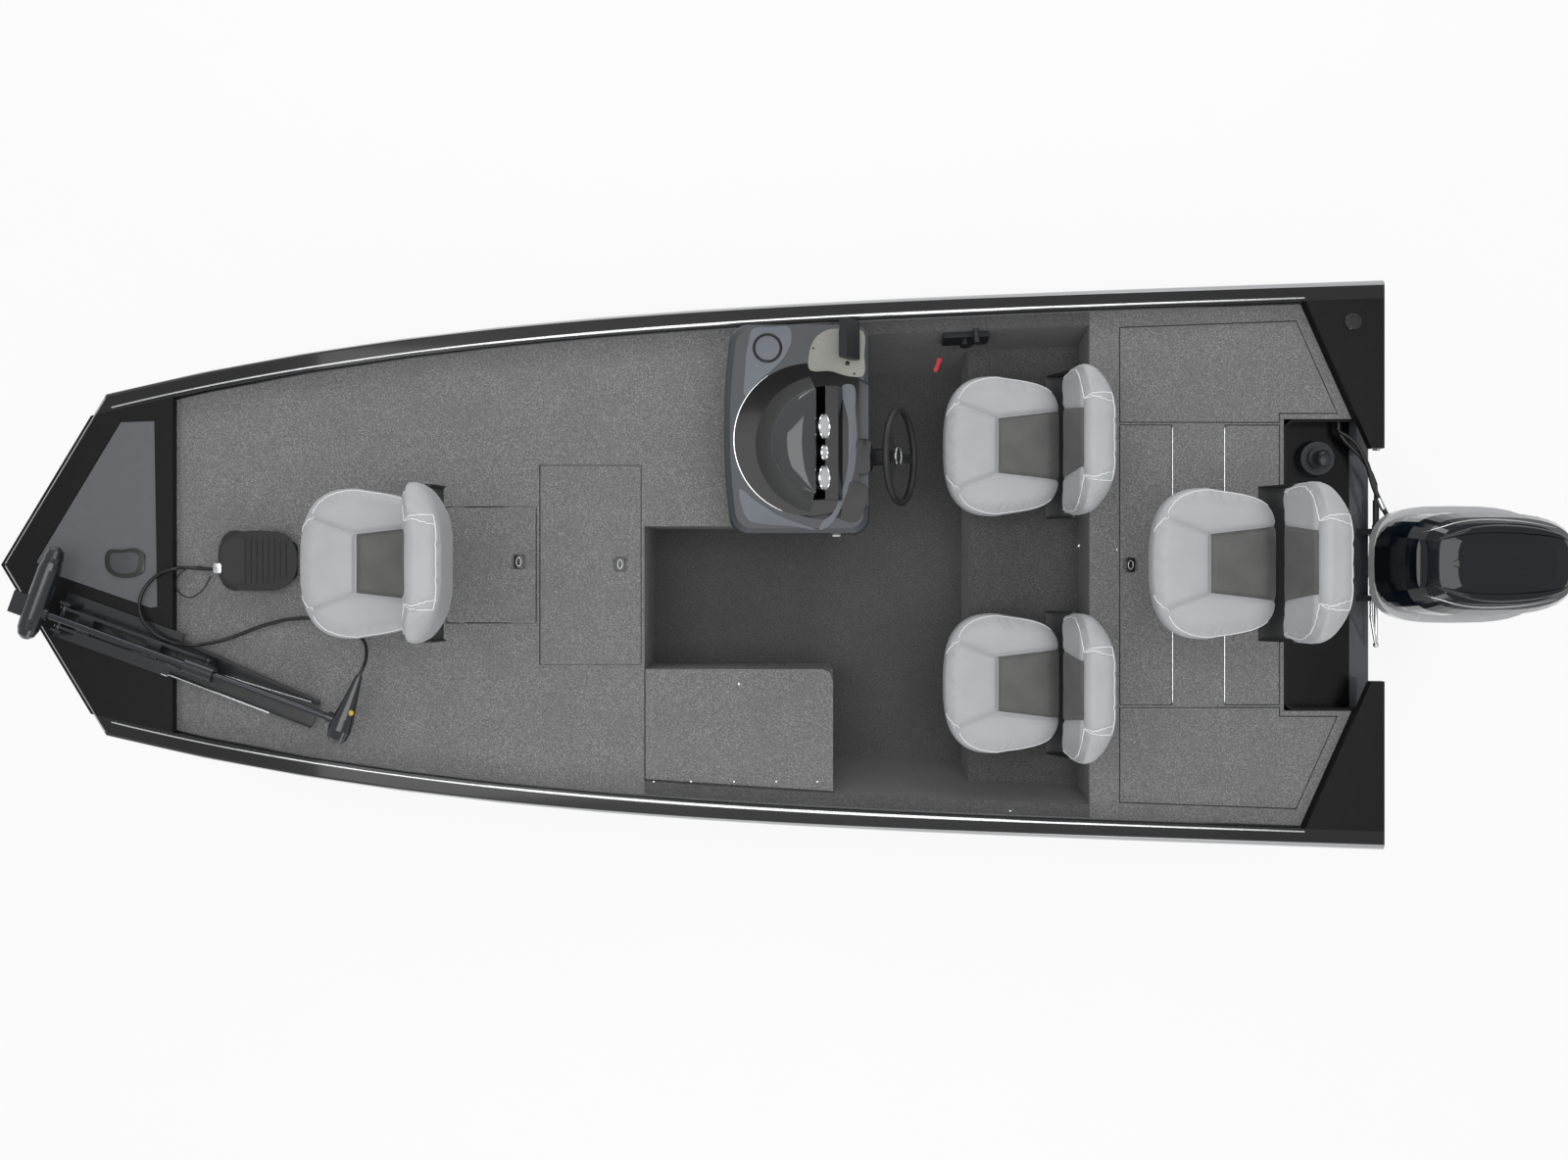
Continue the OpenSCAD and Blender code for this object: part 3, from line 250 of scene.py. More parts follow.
def sparkle_paint(name, colour, flake):
    """Metallic paint under clear coat: small flakes in a dark base, and a soft orange peel."""
    f = Finish(name)
    at = f.place()
    flakes = f.cells(at, 1600, out="Color")
    bright = f.split(flakes)[0].step(0.7, 1.0)
    peel = f.noise(at, 160, 1.0)
    tone = f.mix(bright * 0.5, colour, flake)
    return f.surface(Base_Color=tone, Metallic=0.35, Roughness=0.32, Coat_Weight=1.0, Coat_Roughness=0.04,
                     Normal=f.bump(peel, 0.00006))


def vinyl(name, colour, insert, region):
    """Marine vinyl with a fine leather grain; the region gives where the dark insert is, 0 to 1."""
    f = Finish(name)
    at = f.place("seat_at")
    pebble = f.cells(at, 620)
    crease = f.noise(at, 34, 4.0, 0.55)
    soft = f.noise(at, 8, 3.0)
    mask = region(f, at)
    light = f.mix(soft.step(0.3, 0.75) * 0.5, colour, tuple(c * 0.88 for c in colour))
    dark = f.mix(soft.step(0.3, 0.7) * 0.6, insert, tuple(c * 1.45 for c in insert))
    tone = f.mix(mask, light, dark)
    return f.surface(Base_Color=tone, Roughness=0.46 + (crease - 0.5) * 0.16 + mask * 0.1,
                     Sheen_Weight=0.08, Normal=f.bump(pebble * 0.25 + crease * 0.75, 0.0012, 0.55))


# ---------------------------------------------------------------- shapes

def put(name, verts, faces, body, finish, angle=38.0):
    """A mesh piece of the given corners and faces, smooth but for edges sharper than the angle."""
    mesh = bpy.data.meshes.new(name)
    mesh.from_pydata(np.asarray(verts, float).reshape(-1, 3).tolist(), [], [list(map(int, q)) for q in faces])
    mesh.validate()
    mesh.shade_smooth()
    mesh.set_sharp_from_angle(angle=math.radians(angle))
    mesh.materials.append(finish)
    made = bpy.data.objects.new(name, mesh)
    bpy.context.scene.collection.objects.link(made)
    if body:
        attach(made, body)
    return made


def quads(rows, columns, wrap):
    """Faces of a grid of rows by columns, wrapped along each row if asked."""
    r = np.arange(rows - 1)[:, None]
    c = np.arange(columns if wrap else columns - 1)[None, :]
    n = (c + 1) % columns
    return np.stack([r * columns + c, r * columns + n, (r + 1) * columns + n, (r + 1) * columns + c],
                    axis=-1).reshape(-1, 4)


def shell(name, points, body, finish, angle=38.0, flip=False):
    """A closed surface through rings: points[ring, place round it, xyz]. The end rings are capped."""
    rings, round_ = points.shape[:2]
    faces = [list(q) for q in quads(rings, round_, True)]
    faces += [list(range(round_))[::-1], [(rings - 1) * round_ + i for i in range(round_)]]
    if flip:
        faces = [q[::-1] for q in faces]
    return put(name, points, faces, body, finish, angle)


def frames_along(path, ref):
    """Unit tangents of a path and two directions square to them, the first square to ref as well."""
    tangent = np.gradient(path, axis=0)
    tangent /= np.linalg.norm(tangent, axis=1)[:, None]
    side = np.cross(np.asarray(ref, float), tangent)
    side /= np.linalg.norm(side, axis=1)[:, None]
    return tangent, side, np.cross(tangent, side)


def tube(name, path, radius, body, finish, sides=10, ref=(0, 0, 1), ends=True):
    """A round tube: path(s) + radius(s) * (cos w * side + sin w * up), its ends drawn in."""
    path = np.asarray(path, float)
    _, side, up = frames_along(path, ref)
    radius = np.full(len(path), radius, float) if np.isscalar(radius) else np.asarray(radius, float)
    if ends:
        tip = radius[[0, -1]] * 0.35
        step = [path[0] + (path[0] - path[1]) * 0.02, path[-1] + (path[-1] - path[-2]) * 0.02]
        path = np.vstack([step[0], path, step[1]])
        side, up = np.vstack([side[:1], side, side[-1:]]), np.vstack([up[:1], up, up[-1:]])
        radius = np.concatenate([tip[:1], radius, tip[1:]])
    w = np.linspace(0, 2 * np.pi, sides, endpoint=False)
    ring = np.cos(w)[None, :, None] * side[:, None] + np.sin(w)[None, :, None] * up[:, None]
    return shell(name, path[:, None] + radius[:, None, None] * ring, body, finish, 50)


def curve_through(points, count, closed=False):
    """A smooth path through the points: a cubic between each pair, whose slopes are those of their
    neighbours, sampled evenly by chord length."""
    p = np.asarray(points, float)
    n = len(p)
    if closed:
        p = np.vstack([p[-2:], p, p[:3]])
    chord = np.concatenate([[0], np.cumsum(np.linalg.norm(np.diff(p, axis=0), axis=1))])
    slope = np.gradient(p, chord, axis=0)
    s = np.linspace(chord[2], chord[n + 2], count, endpoint=False) if closed else np.linspace(0, chord[-1], count)
    i = np.clip(np.searchsorted(chord, s, side="right") - 1, 0, len(p) - 2)
    h = (chord[i + 1] - chord[i])[:, None]
    t = ((s - chord[i]) / h[:, 0])[:, None]
    return ((2 * t**3 - 3 * t**2 + 1) * p[i] + (t**3 - 2 * t**2 + t) * h * slope[i]
            + (3 * t**2 - 2 * t**3) * p[i + 1] + (t**3 - t**2) * h * slope[i + 1])


def spun(name, profile, at, axis, body, finish, steps=40, angle=38.0):
    """A profile of (radius, height) pairs turned round an axis through the point at."""
    profile = np.asarray(profile, float)
    axis = np.asarray(axis, float) / np.linalg.norm(axis)
    ref = np.array([1.0, 0, 0]) if abs(axis[0]) < 0.9 else np.array([0, 1.0, 0])
    u = np.cross(axis, ref)
    u /= np.linalg.norm(u)
    v = np.cross(axis, u)
    w = np.linspace(0, 2 * np.pi, steps, endpoint=False)
    ring = np.cos(w)[:, None] * u + np.sin(w)[:, None] * v
    points = (np.asarray(at, float) + profile[:, 1, None, None] * axis
              + np.maximum(profile[:, 0], 1e-4)[:, None, None] * ring[None])
    return shell(name, points, body, finish, angle)


def superloop(count, centre, rear, front, half, power_rear, power_front, narrow=0.0):
    """A closed plan outline: x = centre + length * |cos|^(2/n), y = half * |sin|^(2/n), each with its
    own length and power n ahead of and behind the centre, and narrowed evenly towards the rear."""
    w = np.linspace(0, 2 * np.pi, count, endpoint=False)
    c, s = np.cos(w), np.sin(w)
    ahead = c >= 0
    n = np.where(ahead, power_front, power_rear)
    length = np.where(ahead, front, rear)
    x = np.sign(c) * np.abs(c) ** (2 / n)
    y = np.sign(s) * np.abs(s) ** (2 / n) * half
    return np.stack([centre + length * x, y * (1 - narrow * np.clip(-x, 0, 1))], axis=1)


def rounded_plate(name, outline, z0, z1, body, finish, soft=0.002):
    """A flat plate with rolled edges: the outline, drawn in by a quarter round at top and bottom."""
    outline = np.asarray(outline, float)
    mid = outline.mean(0)
    reach = np.linalg.norm(outline - mid, axis=1).mean()
    rise = z1 - z0
    soft = min(soft, rise / 2.1)
    q = np.linspace(0, np.pi / 2, 5)
    draw = np.concatenate([soft * (1 - np.sin(q)), soft * (1 - np.cos(q))])
    z = np.concatenate([z0 + soft * (1 - np.cos(q)), z1 - soft + soft * np.sin(q)])
    rings = mid + (outline - mid)[None] * (1 - draw / reach)[:, None, None]
    points = np.concatenate([rings, np.broadcast_to(z[:, None, None], (*rings.shape[:2], 1))], axis=2)
    return shell(name, points, body, finish, 60)


def moved(points, matrix, at):
    """Points turned by a matrix and moved to a place."""
    return np.asarray(points, float) @ np.asarray(matrix, float).T + np.asarray(at, float)


def turn_y(degrees):
    a = math.radians(degrees)
    return np.array([[math.cos(a), 0, math.sin(a)], [0, 1, 0], [-math.sin(a), 0, math.cos(a)]])


def turn_z(degrees):
    a = math.radians(degrees)
    return np.array([[math.cos(a), -math.sin(a), 0], [math.sin(a), math.cos(a), 0], [0, 0, 1]])


def above(px, py, z):
    """The point at height z that the camera, straight above, sees at that pixel of 1600 by 1184."""
    scale = (6.530 - z) / 1513.6
    return np.array([2.470 + (800 - px) * scale, 0.0625 + (py - 592) * scale, z])


def above_all(pixels, z):
    return np.array([above(px, py, z) for px, py in pixels])


def loop_tube(name, path, radius, body, finish, sides=8, ref=(0, 0, 1)):
    """A closed ring of round section: path(s) + radius * (cos w * side + sin w * up), joined end to end."""
    path = np.asarray(path, float)
    tangent = np.roll(path, -1, axis=0) - np.roll(path, 1, axis=0)
    tangent /= np.linalg.norm(tangent, axis=1)[:, None]
    side = np.cross(np.asarray(ref, float), tangent)
    side /= np.linalg.norm(side, axis=1)[:, None]
    up = np.cross(tangent, side)
    w = np.linspace(0, 2 * np.pi, sides, endpoint=False)
    ring = np.cos(w)[None, :, None] * side[:, None] + np.sin(w)[None, :, None] * up[:, None]
    points = path[:, None] + radius * ring
    faces = quads(len(path) + 1, sides, True) % (len(path) * sides)
    return put(name, points, faces, body, finish, 50)


def stud(name, at, radius, body, finish, rise=0.4):
    """A domed head of that radius: a quarter ellipse turned about the vertical."""
    w = np.linspace(0, np.pi / 2, 7)
    profile = np.stack([radius * np.cos(w), radius * rise * np.sin(w)], axis=1)
    return spun(name, np.vstack([[radius, -0.0004], profile]), at, (0, 0, 1), body, finish, 20, 60)


def laid_on(node, points, lift, high=3.0):
    """The (x, y) points dropped from that height onto a CAD node's skin, and lifted a little off it."""
    skin = BVHTree.FromObject(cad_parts[node], bpy.context.evaluated_depsgraph_get())
    laid = []
    for x, y in points:
        hit = skin.ray_cast(Vector((x, y, high)), Vector((0, 0, -1)))[0]
        if hit is None:
            hit = skin.find_nearest(Vector((x, y, 0.5)))[0]
            x, y = hit.x, hit.y
        laid.append((x, y, hit.z + lift))
    return np.array(laid)


def fin(name, line, width, height, body, finish):
    """A low ridge along a line: half-ellipse sections that grow from nothing and die away again."""
    line = np.asarray(line, float)
    grow = np.sin(np.pi * np.linspace(0.02, 0.98, len(line))) ** 0.7
    run = np.gradient(line, axis=0)
    side = np.cross(run, (0, 0, 1.0))
    side /= np.linalg.norm(side, axis=1)[:, None]
    w = np.linspace(0, 2 * np.pi, 20, endpoint=False)
    up = np.where(np.sin(w) > 0, np.sin(w), 0.4 * np.sin(w))
    points = line[:, None] + side[:, None] * (width * grow[:, None] * np.cos(w))[..., None]
    points[..., 2] += height * grow[:, None] * up
    return shell(name, points, body, finish, 60.0)


def half_beam(x):
    """Half the beam at x: an even taper and a fourth-power entry at the bow."""
    t = np.asarray(x, float) / HULL_LEN
    return BEAM / 2 * (1 - TAPER * t - ENTRY * t**4)


def finish_nodes(material, *names):
    """Gives CAD nodes their finish."""
    for name in names:
        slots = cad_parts[name].data.materials
        slots.clear()
        slots.append(material)


def mesh_points(obj):
    co = np.zeros(len(obj.data.vertices) * 3, np.float32)
    obj.data.vertices.foreach_get("co", co)
    return co.reshape(-1, 3).astype(float)


def set_points(obj, points):
    obj.data.vertices.foreach_set("co", np.asarray(points, np.float32).ravel())
    obj.data.update()


def stuffed(obj, voxel, most, pressure=4.0, stiffness=12.0):
    """Fills a closed skin: even voxel mesh, cloth under pressure, and no point moved past the cap."""
    context = bpy.context
    context.view_layer.objects.active = obj
    remesh = obj.modifiers.new("even mesh", "REMESH")
    remesh.mode, remesh.voxel_size, remesh.use_smooth_shade = "VOXEL", voxel, True
    bpy.ops.object.select_all(action="DESELECT")
    obj.select_set(True)
    bpy.ops.object.modifier_apply(modifier=remesh.name)
    before = mesh_points(obj)
    cloth = obj.modifiers.new("filling", "CLOTH")
    cloth.settings.use_pressure = True
    cloth.settings.uniform_pressure_force = pressure
    cloth.settings.tension_stiffness = cloth.settings.compression_stiffness = stiffness
    cloth.settings.effector_weights.gravity = 0
    cloth.settings.quality = 4
    cloth.collision_settings.use_collision = False
    for step in range(1, 21):
        context.scene.frame_set(step)
    bpy.ops.object.modifier_apply(modifier=cloth.name)
    context.scene.frame_set(1)
    shift = mesh_points(obj) - before
    length = np.maximum(np.linalg.norm(shift, axis=1), 1e-9)
    set_points(obj, before + shift * np.minimum(1.0, most / length)[:, None])


# ---------------------------------------------------------------- sizes and colours

class BoatFinish(bpy.types.PropertyGroup):
    carpet: FloatVectorProperty(name="Carpet", description="Middle tone of the deck carpet",
                                subtype="COLOR", default=(0.156, 0.157, 0.156))
    paint: FloatVectorProperty(name="Hull paint", description="Base colour of the hull's paint",
                               subtype="COLOR", default=(0.035, 0.038, 0.045))
    console: FloatVectorProperty(name="Console", description="Colour of the moulded console",
                                 subtype="COLOR", default=(0.042, 0.048, 0.056))


class SeatLook(bpy.types.PropertyGroup):
    vinyl: FloatVectorProperty(name="Vinyl", description="Colour of the light vinyl", subtype="COLOR",
                               default=(0.385, 0.393, 0.405))
    insert: FloatVectorProperty(name="Insert", description="Colour of the dark centre panels",
                                subtype="COLOR", default=(0.078, 0.077, 0.076))
    piping: FloatProperty(name="Piping", description="Radius of the white piping", default=0.0019,
                          subtype="DISTANCE", unit="LENGTH")


class MotorLook(bpy.types.PropertyGroup):
    cowl: FloatVectorProperty(name="Cowl", description="Colour of the glossy cowl", subtype="COLOR",
                              default=(0.003, 0.0065, 0.010))


class StudioLook(bpy.types.PropertyGroup):
    key: FloatProperty(name="Key light", description="Power of the large top light", default=260.0,
                       subtype="POWER", unit="POWER")
    height: FloatProperty(name="Camera height", description="Height of the camera over the water",
                          default=6.53, subtype="DISTANCE", unit="LENGTH")


# ---------------------------------------------------------------- operators

def rail_finish():
    """Black enamel, with a painted highlight: a bright band along the rail's outer shoulder that stands for the
    shoulder's reflection of the white studio.
    """
    f = Finish("rail_enamel_painted_highlight")
    at = f.place()
    x, y, z = f.split(at)
    t = x * (1 / HULL_LEN)
    inward = (1 - t * TAPER - (t**4.0) * ENTRY) * (BEAM / 2) - abs(y)
    width = 0.024 - t * 0.019
    # Painted reflection: on the rail's top, within a narrowing width of the outer edge, where the rounded glossy
    # shoulder would mirror the white surroundings.
    painted_shoulder_highlight = (1 - (inward / width).step(0.85, 1.0)) * z.step(0.409, 0.412)
    fine = f.noise(at, 40, 3.0)
    # The light grey is the painted highlight's colour over the black enamel.
    tone = f.mix(painted_shoulder_highlight, (0.010, 0.010, 0.0105), (0.50, 0.51, 0.52))
    return f.surface(Base_Color=tone, Metallic=painted_shoulder_highlight * 0.9, Roughness=0.14 + fine * 0.08 + painted_shoulder_highlight * 0.12,
                     Coat_Weight=0.5, Coat_Roughness=0.05, Normal=f.bump(fine, 0.0001))


# Lid latches: body, x, y. Piano hinges: x, from y, to y. Deck fittings: pixel, height, radius.
LATCHES = [("lid_fore_a", 3.569, -0.013), ("lid_fore_b", 3.149, -0.003), ("lid_aft_front", 1.034, 0.0)]
HINGE_LINES = [(0.861, -0.570, 0.570), (0.645, -0.570, 0.570)]
DECK_FITTINGS = [(1101, 557, 0.386, 0.006), (1140, 561, 0.386, 0.006), (1031, 828, 0.386, 0.006),
                 (754, 698, 0.386, 0.007)]


class BOAT_OT_hull(bpy.types.Operator):
    """Paint, rails, carpet and liner of the hull and its decks"""
    bl_idname = "boat.hull"
    bl_label = "Hull and decks"

    def execute(self, context):
        look = context.scene.boat_finish
        mid = tuple(look.carpet)
        deck = carpet("deck_carpet", grey(0.22, mid), mid, grey(3.6, mid))
        finish_nodes(deck, "fore_deck", "fore_lid_a", "fore_lid_b", "port_box_lid", "aft_deck", "aft_lid_port",
                     "aft_lid_starboard", "aft_lid_front", "aft_lid_rear")
        # Painted shade: the cockpit liner, the port box's sides and the bench get the deck carpet at 0.55 of its tone,
        # the shade of the sunken cockpit put into colour.
        low = tuple(c * 0.55 for c in mid)
        finish_nodes(carpet("cockpit_carpet_painted_shade", grey(0.25, low), low, grey(3.2, low)), "cockpit_liner", "port_box",
                     "seat_bench")
        finish_nodes(sparkle_paint("hull_paint", tuple(look.paint), (0.3, 0.32, 0.35)), "hull_bottom", "hull_bow",
                     "hull_stern", "hull_port_side", "hull_starboard_side", "stern_frame")
        finish_nodes(deep(rail_finish(), 0.25), "gunwales")
        finish_nodes(deep(moulded("cap_plastic", (0.005, 0.005, 0.005), 0.4), 0.22), "bow_cap", "transom_corners")
        finish_nodes(moulded("bow_plate", (0.098, 0.100, 0.110), 0.5, grain=500, depth=0.0004), "bow_panel")
        finish_nodes(deep(moulded("tray_gloss", (0.003, 0.003, 0.0035), 0.12, coat=0.12), 0.2), "splash_well")
        boot = moulded("lamp_boot", (0.013, 0.016, 0.020), 0.4)
        finish_nodes(boot, "stern_light")
        black = moulded("latch_black", (0.008, 0.008, 0.009), 0.3, coat=0.3)
        chrome = brushed("fitting_steel", (0.72, 0.73, 0.75), 0.22)
        for body, x, y in LATCHES:
            plate = superloop(40, x, 0.019, 0.019, 0.031, 4.0, 4.0) + (0, y)
            rounded_plate(f"latch_plate_{body}", plate, 0.3835, 0.3868, body, black, 0.0012)
            w = np.linspace(0, 2 * np.pi, 36, endpoint=False)
            pull = np.stack([x + 0.010 * np.cos(w), y + 0.018 * np.sin(w), np.full(36, 0.3874)], axis=1)
            loop_tube(f"latch_pull_{body}", pull, 0.0018, body, chrome)
        for i, (x, y0, y1) in enumerate(HINGE_LINES):
            steps = np.linspace(y0, y1, int((y1 - y0) / 0.012))
            line = np.stack([np.full(len(steps), x), steps, np.full(len(steps), 0.3858)], axis=1)
            knuckled = 0.0030 + 0.0008 * (np.arange(len(steps)) % 3 > 0)
            tube(f"hinge_strip_{i}", line, knuckled, "boat", chrome, 8, ref=(0, 0, 1))
        for i, (px, py, z, r) in enumerate(DECK_FITTINGS):
            stud(f"deck_fitting_{i}", above(px, py, z), r, "boat", chrome, 0.5)
        for i, px in enumerate((667, 705, 749, 792, 834)):
            stud(f"port_box_screw_{i}", above(px, 798, 0.3855), 0.005, "boat", chrome, 0.4)
        # A ring pull and its plate on the bow panel.
        ring = curve_through(above_all([(109, 563), (124, 561), (142, 561), (147, 565),
                                        (146, 575), (142, 587), (135, 589), (115, 587), (110, 583), (107, 571)],
                                       0.4312)[:, :2], 60, closed=True)
        rounded_plate("bow_panel_pull", ring, 0.4290, 0.4330, "boat", black, 0.001)
        inner = ring.mean(0) + (ring - ring.mean(0)) * 0.74
        rounded_plate("bow_panel_grip", inner, 0.4322, 0.4350, "boat", moulded("grip_slate", (0.05, 0.052, 0.06), 0.4),
                      0.001)
        # The fuel filler's cap, on the starboard corner of the stern.
        cap = [(0.036, -0.002), (0.036, 0.003), (0.033, 0.006), (0.020, 0.0065), (0.019, 0.005), (0.0, 0.005)]
        spun("fuel_cap", cap, (0.129, -1.001, 0.430), (0, 0, 1), "boat", black)
        # The well's drain screw, the lamp's faceted cap, and the transom's eyes.
        stud("well_screw", above(1329, 443, 0.262), 0.012, "boat", chrome, 0.5)
        lamp = above(1352, 470, 0.424)
        facets = [(0.030, -0.006), (0.030, 0.002), (0.024, 0.010), (0.010, 0.014), (0.0, 0.014)]
        spun("stern_light_cap", facets, lamp, (0, 0, 1), "boat", boot, 8, 20)
        for i, py in enumerate((388, 459, 762)):
            x, y, _ = above(1413, py, 0.34)
            w = np.linspace(0, 2 * np.pi, 28, endpoint=False)
            eye = np.stack([-0.004 + 0.012 * np.cos(w), np.full(28, y), 0.335 + 0.018 * np.sin(w)], axis=1)
            loop_tube(f"transom_eye_{i}", eye, 0.0032, "boat", chrome, ref=(0, 1, 0))
        return {"FINISHED"}


class BOAT_OT_rail_beads(bpy.types.Operator):
    """Bright beads along the rails and the bow cap, and the carpet's sewn edge"""
    bl_idname = "boat.rail_beads"
    bl_label = "Rail beads"

    def execute(self, context):
        bright = brushed("bead_metal", (0.86, 0.87, 0.88), 0.16)
        x = np.linspace(0.33, 5.235, 160)
        width = 0.0036 + 0.0036 * np.exp(-((x - 2.3) / 1.5) ** 2)
        for side, word in ((1, "port"), (-1, "starboard")):
            path = np.stack([x, side * (half_beam(x) - 0.066), np.full_like(x, SHEER_Z - 0.001)], axis=1)
            tube(f"rail_bead_{word}", path, width, "boat", bright, 8)
            corner = np.array([BOW_CORNER, half_beam(BOW_CORNER)])
            edge = corner + (np.array([HULL_LEN, 0]) - corner) * np.linspace(0.02, 0.985, 40)[:, None]
            path = np.stack([edge[:, 0] - 0.012, side * (edge[:, 1] - 0.006), np.full(40, SHEER_Z)], axis=1)
            tube(f"bow_edge_{word}", path, 0.0028, "boat", bright, 6)
        f = Finish("sewn_edge")
        at = f.place()
        _, y, _ = f.split(at)
        stitch = f.maths_wave(y, 0.006)
        tone = f.mix(stitch.step(0.4, 0.6), (0.09, 0.09, 0.088), (0.30, 0.30, 0.295))
        binding = f.surface(Base_Color=tone, Roughness=0.9, Normal=f.bump(stitch, 0.002))
        half = float(half_beam(4.975)) - 0.095
        y = np.linspace(-half, half, 200)
        path = np.stack([np.full_like(y, 4.968), y, np.full_like(y, DECK_Z + 0.001)], axis=1)
        tube("carpet_binding", path, 0.0045, "boat", binding, 8)
        return {"FINISHED"}


# Inset panels of the console's top, as the photograph's pixels.
CONSOLE_PANELS = {
    "cup": [(768, 336), (787, 334), (806, 335), (808, 345), (802, 362), (790, 376), (775, 388), (760, 404), (760, 380),
            (763, 352)],
    "fore": [(754.5, 499), (756, 515), (764, 531), (785, 535.5), (807, 537), (834, 541), (812, 533), (790, 523),
             (772, 512)],
    "dash_edge": [(863, 392), (868, 392), (873, 422), (874, 464), (870, 488), (862, 508), (854, 527), (846, 537),
                  (836, 541), (839, 533), (848, 526), (857, 508), (864.5, 480), (866, 450), (865.5, 430)],
}
DARK_PANELS = {
    "pocket": [(869, 491), (884, 497), (882, 520), (875, 532), (858, 529), (863, 510)],
    "bezel": [(875, 449), (887, 449), (888, 466), (886, 483), (875, 483), (874, 466)],
}
DEVICE_PLATE = [(826, 377), (826, 359), (832, 345), (843, 337), (862, 336), (880, 338), (882, 362), (880, 384),
                (866, 384), (848, 379)]
WHEEL_AT, WHEEL_AXIS = np.array([2.007, -0.430, 0.620]), np.array([-0.92718, 0.0, 0.37461])
GAUGE_AXIS = np.array([-0.891, 0.0, 0.454])


def dial_finish():
    """A pale dial whose marks stand round its edge, on coordinates about the gauge's own middle."""
    f = Finish("gauge_dial")
    x, y, z = f.split(f.place("dial_at"))
    turn = f.node("ShaderNodeMath", {"operation": "ARCTAN2"}, y, x)
    out = (x * x + y * y) ** 0.5
    ticks = (turn * 24.0).maths("SINE", turn * 24.0).step(0.55, 0.8) * out.inside(0.74, 0.88, 0.02)
    fine = f.noise(f.place(), 300, 2.0)
    tone = f.mix(ticks, (0.72, 0.73, 0.74), (0.02, 0.02, 0.022))
    return f.surface(Base_Color=tone, Roughness=0.2 + fine * 0.1, Coat_Weight=0.8)


